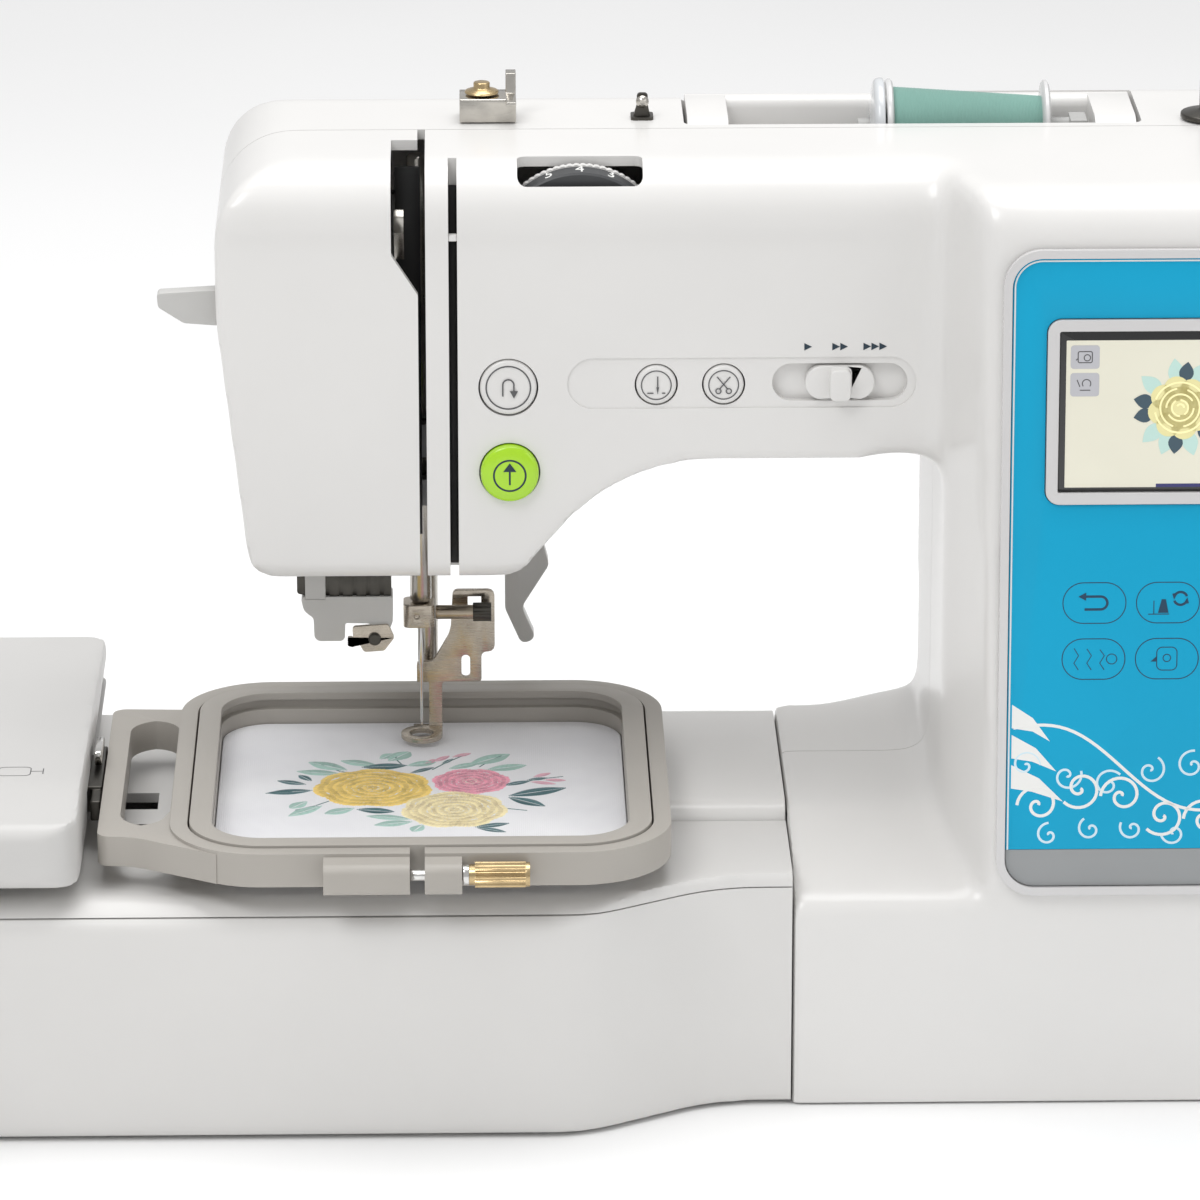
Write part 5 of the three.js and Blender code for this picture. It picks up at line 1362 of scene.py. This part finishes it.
slotFloor = roundPrism("slotFloor", "y", boxCorners(101, 142, 200.4, 212.6, 5.9), faceY + 2.9,
    faceY + 4.4, 16)
settle(bevelEdges(slotFloor, 0.2, 2), whiteShell, rider="machine")
s = slider
grip = roundPrism("sliderPlate", "y", boxCorners(
    s["x"] - s["halfWidth"], s["x"] + s["halfWidth"], s["z"] - s["halfHeight"],
    s["z"] + s["halfHeight"], 4.9),
    faceY - 0.8, faceY + 2.5, 16)
join(grip, roundPrism("sliderGrip", "y", boxCorners(
    s["x"] - 3, s["x"] + 3, s["z"] - s["halfHeight"] + 0.4, s["z"] + s["halfHeight"] - 0.4, 1.6),
    faceY - 4.2, faceY, 8))
bevelEdges(grip, 0.9, 4, 35)
settle(grip, whiteShell, "speed_slider", angle=60)

d = dial
wheel = lathe("tensionWheel", "y", d["x"], d["z"], [
    (0, -9), (2.5, -9), (2.5, d["back"] - 1), (2.5, d["back"] - 0.2),
    (d["wheelRadius"], d["back"] - 0.2),
    (d["wheelRadius"], d["front"] + 0.6), (d["wheelRadius"] - 0.6, d["front"] + 0.1),
    (0, d["front"] + 0.1)], 160, 35)
settle(wheel, dialBlack, "tension_dial", angle=35)
rimPoints = flutedOutline(d["x"], d["z"], d["radius"], d["ridgeDepth"], d["ridges"] * 3, 3, (0,))
rim = prism("tensionRim", "y", rimPoints, d["back"] - d["rimDepth"], d["back"])
numberRadius = d["wheelRadius"] + 0.05
cut(rim, tube("rimHole", "y", d["x"], d["z"], numberRadius, -60, -20, 128))
settle(rim, whiteShell, rider="tension", angle=30)
numerals = []
middle = Matrix.Translation(at(0, d["front"] + d["numberMiddle"], 0))
stretch = middle @ Matrix.Diagonal((*d["numberStretch"], 1, 1)) @ middle.inverted()
for i in range(d["numbers"]):  # number 4 stands at the top
    turn = math.radians((i - 3) * -d["numberStep"])
    numeral = textMesh("numeral", str(i + 1), d["numberSize"], 0, d["front"] + d["numberMiddle"],
        numberRadius)
    spin = Matrix.Translation(at(d["x"], 0, d["z"])) @ Matrix.Rotation(turn, 4, "Y")
    numerals.append(placed(numeral, spin @ Matrix.Translation(-at(0, 0, 0)) @ stretch))
inked("tensionNumbers", whiteInk, *numerals, place=Matrix.Identity(4), rider="tension")
for name, side in (("wellEndShadeLeft", -1), ("wellEndShadeRight",
    1)):  # painted shade: black sheets at the ends of the well, clear of the wheel, darken them as shade would
    endX = d["x"] + side * d["wellEnd"]
    end = block(name, endX - 0.4, endX + 0.4, -45.6, d["back"] + 1.6, d["z"] + d["wellLow"], 263.5)
    settle(bevelEdges(end, 0.15, 2), blackPlasticAndShade, rider="machine")
# painted shade: a black sheet across the front of the well, under the window's lip, darkens it as shade
# would
wellShadeSheet = block("wellFrontShade", d["x"] - 18, d["x"] + 18, -46.6, -46.0, 246, 261.5)
settle(bevelEdges(wellShadeSheet, 0.15, 2), blackPlasticAndShade, rider="machine")

# behind the thread slots black sheets paint the shade that falls deep in the slots: painted shade
slotShadeSheet = block("slotShadeSheet", -6.5, 0.8, -14, -12.8, 150, 262)
settle(bevelEdges(slotShadeSheet, 0.3, 2), blackPlasticAndShade, rider="machine")
grooveShadeSheet = block("grooveShadeLiner", 9.05, 11.45, -35, -34.05, 148, 262)
settle(bevelEdges(grooveShadeSheet, 0.2, 2), blackPlasticAndShade, rider="machine")
bridge = block("grooveBridge", 9.02, 11.48, -49, -47, 249.2, 251.2)
settle(bevelEdges(bridge, 0.3, 2), whiteShell, rider="machine")

paleGrey = plastic("paleGrey", (0.54, 0.535, 0.52), 0.36, 0.04, 0.04, coat=0.1)
milkyPlastic = plastic("milkyPlastic", (0.64, 0.64, 0.64), 0.22, 0.02, 0.0, coat=0.4)

# needle bar, clamp and needle
print("needle and foot")
needleBar = {"radius": 3.2, "bottom": 125, "top": 262, "clampTop": 124.6, "clampBottom": 117.6,
    "tip": 84.2}
nb = needleBar
bar = lathe("needleBarRod", "z", 0, 0, [
    (0, nb["bottom"]), (nb["radius"] - 0.5, nb["bottom"]), (nb["radius"], nb["bottom"] + 0.6),
    (nb["radius"], nb["top"] - 0.6), (nb["radius"] - 0.5, nb["top"]), (0, nb["top"])], 48, 40)
settle(bar, steel, "needle_bar", angle=40)
clamp = roundPrism("clampBlock", "z", boxCorners(-5.2, 4, -4.6, 4.6, 2), nb["clampBottom"],
    nb["clampTop"], 8)
cut(clamp, tube("clampMark", "y", -1.2, 121.2, 0.8, -6, -4.2, 20))
bevelEdges(clamp, 0.5, 3, 35)
settle(clamp, warmSteel, "needle_clamp", angle=40)
screwZ = 121.1
screwRod = lathe("clampScrew", "x", 0, screwZ, [
    (0, 4.4), (1.8, 4.4), (2.1, 4.8), (2.1, 15.6), (0, 15.6)], 40, 40)
settle(screwRod, bronzedSteel, "needle_clamp_screw", angle=40)
headPoints = flutedOutline(0, screwZ, 2.8, 0.3, 48, 4, (0, 1))
screwHead = prism("clampScrewHead", "x", headPoints, 15.5, 21)
bevelEdges(screwHead, 0.2, 2, 60)
settle(screwHead, darkSteel, rider="needle_slide", angle=40)
needleShape = lathe("needleShape", "z", 0, 0, [
    (0, nb["tip"]), (0.25, nb["tip"] + 1.4), (0.42, nb["tip"] + 3.4), (0.5, nb["tip"] + 20),
    (1.0, nb["tip"] + 22.4),
    (1.0, nb["tip"] + 32.8), (0.8, nb["tip"] + 33), (0, nb["tip"] + 33)], 24, 40)
cut(needleShape, block("needleFlat", -2, 2, 0.62, 3, nb["tip"] + 22, nb["tip"] + 40))
settle(needleShape, chrome, "needle", angle=40)

refined("presser_bar", 0.4, steel, 2)
refined("embroidery_foot", 0.25, warmSteel, 3)
refined("take_up_lever", 0.4, steel)
refined("presser_lever", 0.8, paleGrey, 4)

# needle threader: the lever on the left and the head that swings to the needle
lever = roundPrism("threaderTab", "y", [
    (-75.3, 229.6, 1.2), (-75.0, 225.4, 1.6), (-67.6, 220.6, 3), (-57.6, 219.8, 0.6),
    (-57.6, 230.6, 0.6)], -32.6, -27.4, 8)
join(
    lever,
    block("threaderStem", -58, -44.5, -32, -28, 222, 229),
    block("threaderRod", -44.5, -40.5, -32.5, -7, 168.6, 229),
    block("threaderArm", -44.5, -28, -17.6, -7, 168.6, 173.6),
    block("threaderDrop", -34, -28, -17.6, -7, 154, 169.6),
)
bevelEdges(lever, 0.7, 4, 30)
settle(lever, paleGrey, "threader_lever", angle=50)
head = roundPrism("threaderHeadShape", "y", [
    (-35.4, 131.8, 1), (-8.2, 131.8, 1), (-8.2, 124, 3), (-10, 119.4, 1.5), (-12.2, 119.4, 1),
    (-14.5, 123.4, 2.5),
    (-22.4, 123.6, 0.8), (-22.4, 118, 1.6), (-31.4, 118, 2), (-31.6, 125.2, 2), (-34.4, 127.4, 3)],
    -17.2, -7.6, 8)
join(head, block("headStem", -34, -28, -17.2, -7.2, 131, 153.4))
bevelEdges(head, 0.8, 4, 30)
settle(head, paleGrey, "threader_head", angle=50)
shade = roundPrism("threaderCollar", "y", [
    (-36.4, 138.6, 1), (-8.6, 138.6, 1), (-8.6, 131.4, 1), (-24, 130.4, 6), (-36.4, 132.6, 1)], -16.4,
    -8.4, 6)
cut(shade, *[block("rib", x, x + 1.2, -17, -15.6, 129, 140) for x in (-32, -28, -24, -20, -16, -12)])
bevelEdges(shade, 0.4, 2, 40)
settle(shade, darkSteel, rider="threader", angle=40)
hookPlate = roundPrism("threaderHook", "y", [
    (-20.2, 122.6, 1), (-9.6, 123.4, 1), (-7.8, 119.2, 1), (-10.8, 115.2, 1.2), (-16.8, 114.8, 1.2),
    (-18.6, 118.2, 0.6),
    (-20.4, 119.4, 0.4), (-21.6, 119.4, 0.4), (-21.6, 116.8, 0.4), (-19.8, 116.2, 0.4)], -18.0, -16.4, 6)
cut(hookPlate, tube("hookEye", "y", -20.6, 118, 0.7, -20, -14, 16))
bevelEdges(hookPlate, 0.3, 3, 40)
settle(hookPlate, warmSteel, rider="threader", angle=40)
hookScrew = lathe("hookScrew", "y", -13.6, 119,
    [(0, -17), (1.9, -17), (1.9, -18.8), (1.5, -19.2), (0, -19.2)], 32, 40)
settle(hookScrew, darkSteel, rider="threader", angle=40)

# top of the arm
print("top")
refined("thread_guide_plate", 0.25, steel, 2)
refined("pretension_disc", 0.5, brass, 3)
refined("spool_pin", 0.4, greyPlate, 3)
refined("spool_cap", 0.6, clearCover, 3)
refined("carry_handle", 1.6, whiteShell, 4)
refined("bobbin_winder", 0.5, darkSteel, 3)
refined("handwheel", 0.8, whiteShell, 4)

# a second small thread clip behind the wheel
clip = roundPrism("threadClip", "y", [
    (63.2, 270.2, 0.6), (68.4, 270.2, 0.6), (67.6, 274.2, 0.8), (67.6, 277.6, 1), (64.4, 277.6, 1),
    (64.4, 274.2, 0.8)], 9.4, 10.8, 6)
cut(clip, block("clipWindow", 65.2, 66.8, 8, 12, 274.6, 276.4))
join(clip, roundPrism("clipFoot", "z", boxCorners(62.6, 69.2, 7.0, 14.0, 1.2), 269.6, 270.9, 6))
bevelEdges(clip, 0.25, 3, 40)
settle(clip, darkSteel, rider="machine", angle=40)
clipDisc = lathe("clipDisc", "y", 66, 275.2,
    [(0, 9.6), (0, 8.2), (0.8, 8.0), (1.7, 8.5), (1.9, 9.0), (1.9, 9.6), (0, 9.6)], 32, 40)
settle(clipDisc, steel, rider="machine", angle=40)

spool = {"y": 17.5, "z": 265, "left": 137.5, "right": 186, "bigRadius": 12, "smallRadius": 8,
    "pitch": 0.42}
q = spool
# thread wound to and fro in fine turns over the tube
windings = [(5.2, q["left"] + 0.6), (q["smallRadius"], q["left"] + 0.6)]
position, layer = q["left"] + 2.4, 0
while position < q["right"] - 2.6:
    share = (position - q["left"]) / (q["right"] - q["left"])
    bulge = q["bigRadius"] - 3.2 * share  # a part-used reel tapers to the free end
    windings.append((bulge - 0.13, position))
    windings.append((bulge, position + q["pitch"] / 2))
    position += q["pitch"]
windings += [(q["smallRadius"], q["right"] - 0.6), (5.2, q["right"] - 0.6), (5.2, q["left"] + 0.6)]
flange = lathe("spoolFlange", "x", q["y"], q["z"], [
    (5.4, q["left"] + 0.4), (13.8, q["left"] + 0.2), (14.2, q["left"] + 0.8), (14.2, q["left"] + 1.6),
    (13.4, q["left"] + 2.2),
    (5.4, q["left"] + 2.2), (5.4, q["left"] + 0.4)], 72, 40)
settle(flange, milkyPlastic, rider="spool", angle=40)
farFlange = lathe("spoolFarFlange", "x", q["y"], q["z"], [
    (5.4, q["right"] - 2.6), (12.8, q["right"] - 2.4), (13.6, q["right"] - 1.8),
    (13.6, q["right"] - 0.9), (12.6, q["right"] - 0.3),
    (5.4, q["right"] - 0.3), (5.4, q["right"] - 2.6)], 72, 40)
settle(farFlange, milkyPlastic, rider="spool", angle=40)
wound = lathe("woundThread", "x", q["y"], q["z"], windings, 72, 30)
settle(wound, threadTeal, "thread_spool", angle=70)

# power side, feet and everything inside
refined("power_inlet", 0.4, blackPlasticAndShade, 2)
refined("power_switch", 0.5, blackPlasticAndShade, 3)
for node in ("foot_front_right", "foot_rear_right", "foot_front_left", "foot_rear_left"):
    refined(node, 0.6, footRubber, 3)
refined("bottom_plate", 0.8, greyPlate, 2)
inner = {
    "chassis_frame": castAlloy, "drive_motor": castAlloy, "drive_belt": beltRubber,
    "main_board": boardGreen,
    "main_shaft": steel, "motor_pulley": steel, "rotary_hook": steel, "bobbin": clearCover,
}
for node, material in inner.items():
    shape = frame["nodes"][node]
    shape.data.materials.clear()
    shape.data.materials.append(material)
left = [node for node in frame["nodes"] if not frame["nodes"][node].hide_render and node not in inner]
print("carried nodes without their own piece:", left)


# floor, light and camera
studio = {
    "floorSize": 12, "sky": 0.60, "aim": (0, 0, 0.12),
    "lamps": (
        ("keyLight", (-0.9, -1.1, 1.9), 0.9, 14), ("topLight", (0.1, 0.2, 1.6), 1.2, 15),
        ("fillLight", (1.4, -1.0, 0.9), 0.9, 3),
    ),
    "eye": (11.965, -1978.647, 786.738), "tilt": 18.5, "turn": 1.2, "lens": 210, "sensor": 36,
    "farthest": 20,
}


def floorAndLight():
    bpy.ops.object.select_all(action="DESELECT")
    bpy.ops.mesh.primitive_plane_add(size=studio["floorSize"], location=(0, 0, 0))
    floor = bpy.context.active_object
    floor.name = "studioFloor"
    material, nodes, links, shader, place = newMaterial("studioFloorPaint")
    cloudy = noiseNode(nodes, links, place, 3, 2)
    ramp = rampBetween(nodes, links, cloudy.outputs["Fac"], (0.93, 0.93, 0.93), (0.95, 0.95, 0.95))
    links.new(ramp.outputs["Color"], shader.inputs["Base Color"])
    shader.inputs["Roughness"].default_value = 0.6
    floor.data.materials.append(material)
    scene = bpy.context.scene
    scene.world = bpy.data.worlds.new("studioWorld")
    scene.world.use_nodes = True
    background = scene.world.node_tree.nodes["Background"]
    background.inputs["Color"].default_value = (1, 1, 1, 1)
    background.inputs["Strength"].default_value = studio["sky"]
    for name, spot, size, power in studio["lamps"]:
        lamp = bpy.data.lights.new(name, "AREA")
        lamp.size = size
        lamp.energy = power
        holder = bpy.data.objects.new(name, lamp)
        scene.collection.objects.link(holder)
        holder.location = spot
        holder.rotation_euler = (Vector(studio["aim"]) - Vector(spot)).to_track_quat("-Z",
            "Y").to_euler()
    camera = bpy.data.cameras.new("camera")
    camera.sensor_width = studio["sensor"]
    camera.lens = studio["lens"]
    camera.clip_end = studio["farthest"]
    eye = bpy.data.objects.new("camera", camera)
    eye.location = at(*studio["eye"])
    eye.rotation_euler = (math.radians(90 - studio["tilt"]), 0, math.radians(-studio["turn"]))
    scene.collection.objects.link(eye)
    scene.camera = eye
    scene.view_settings.view_transform = "Standard"


floorAndLight()
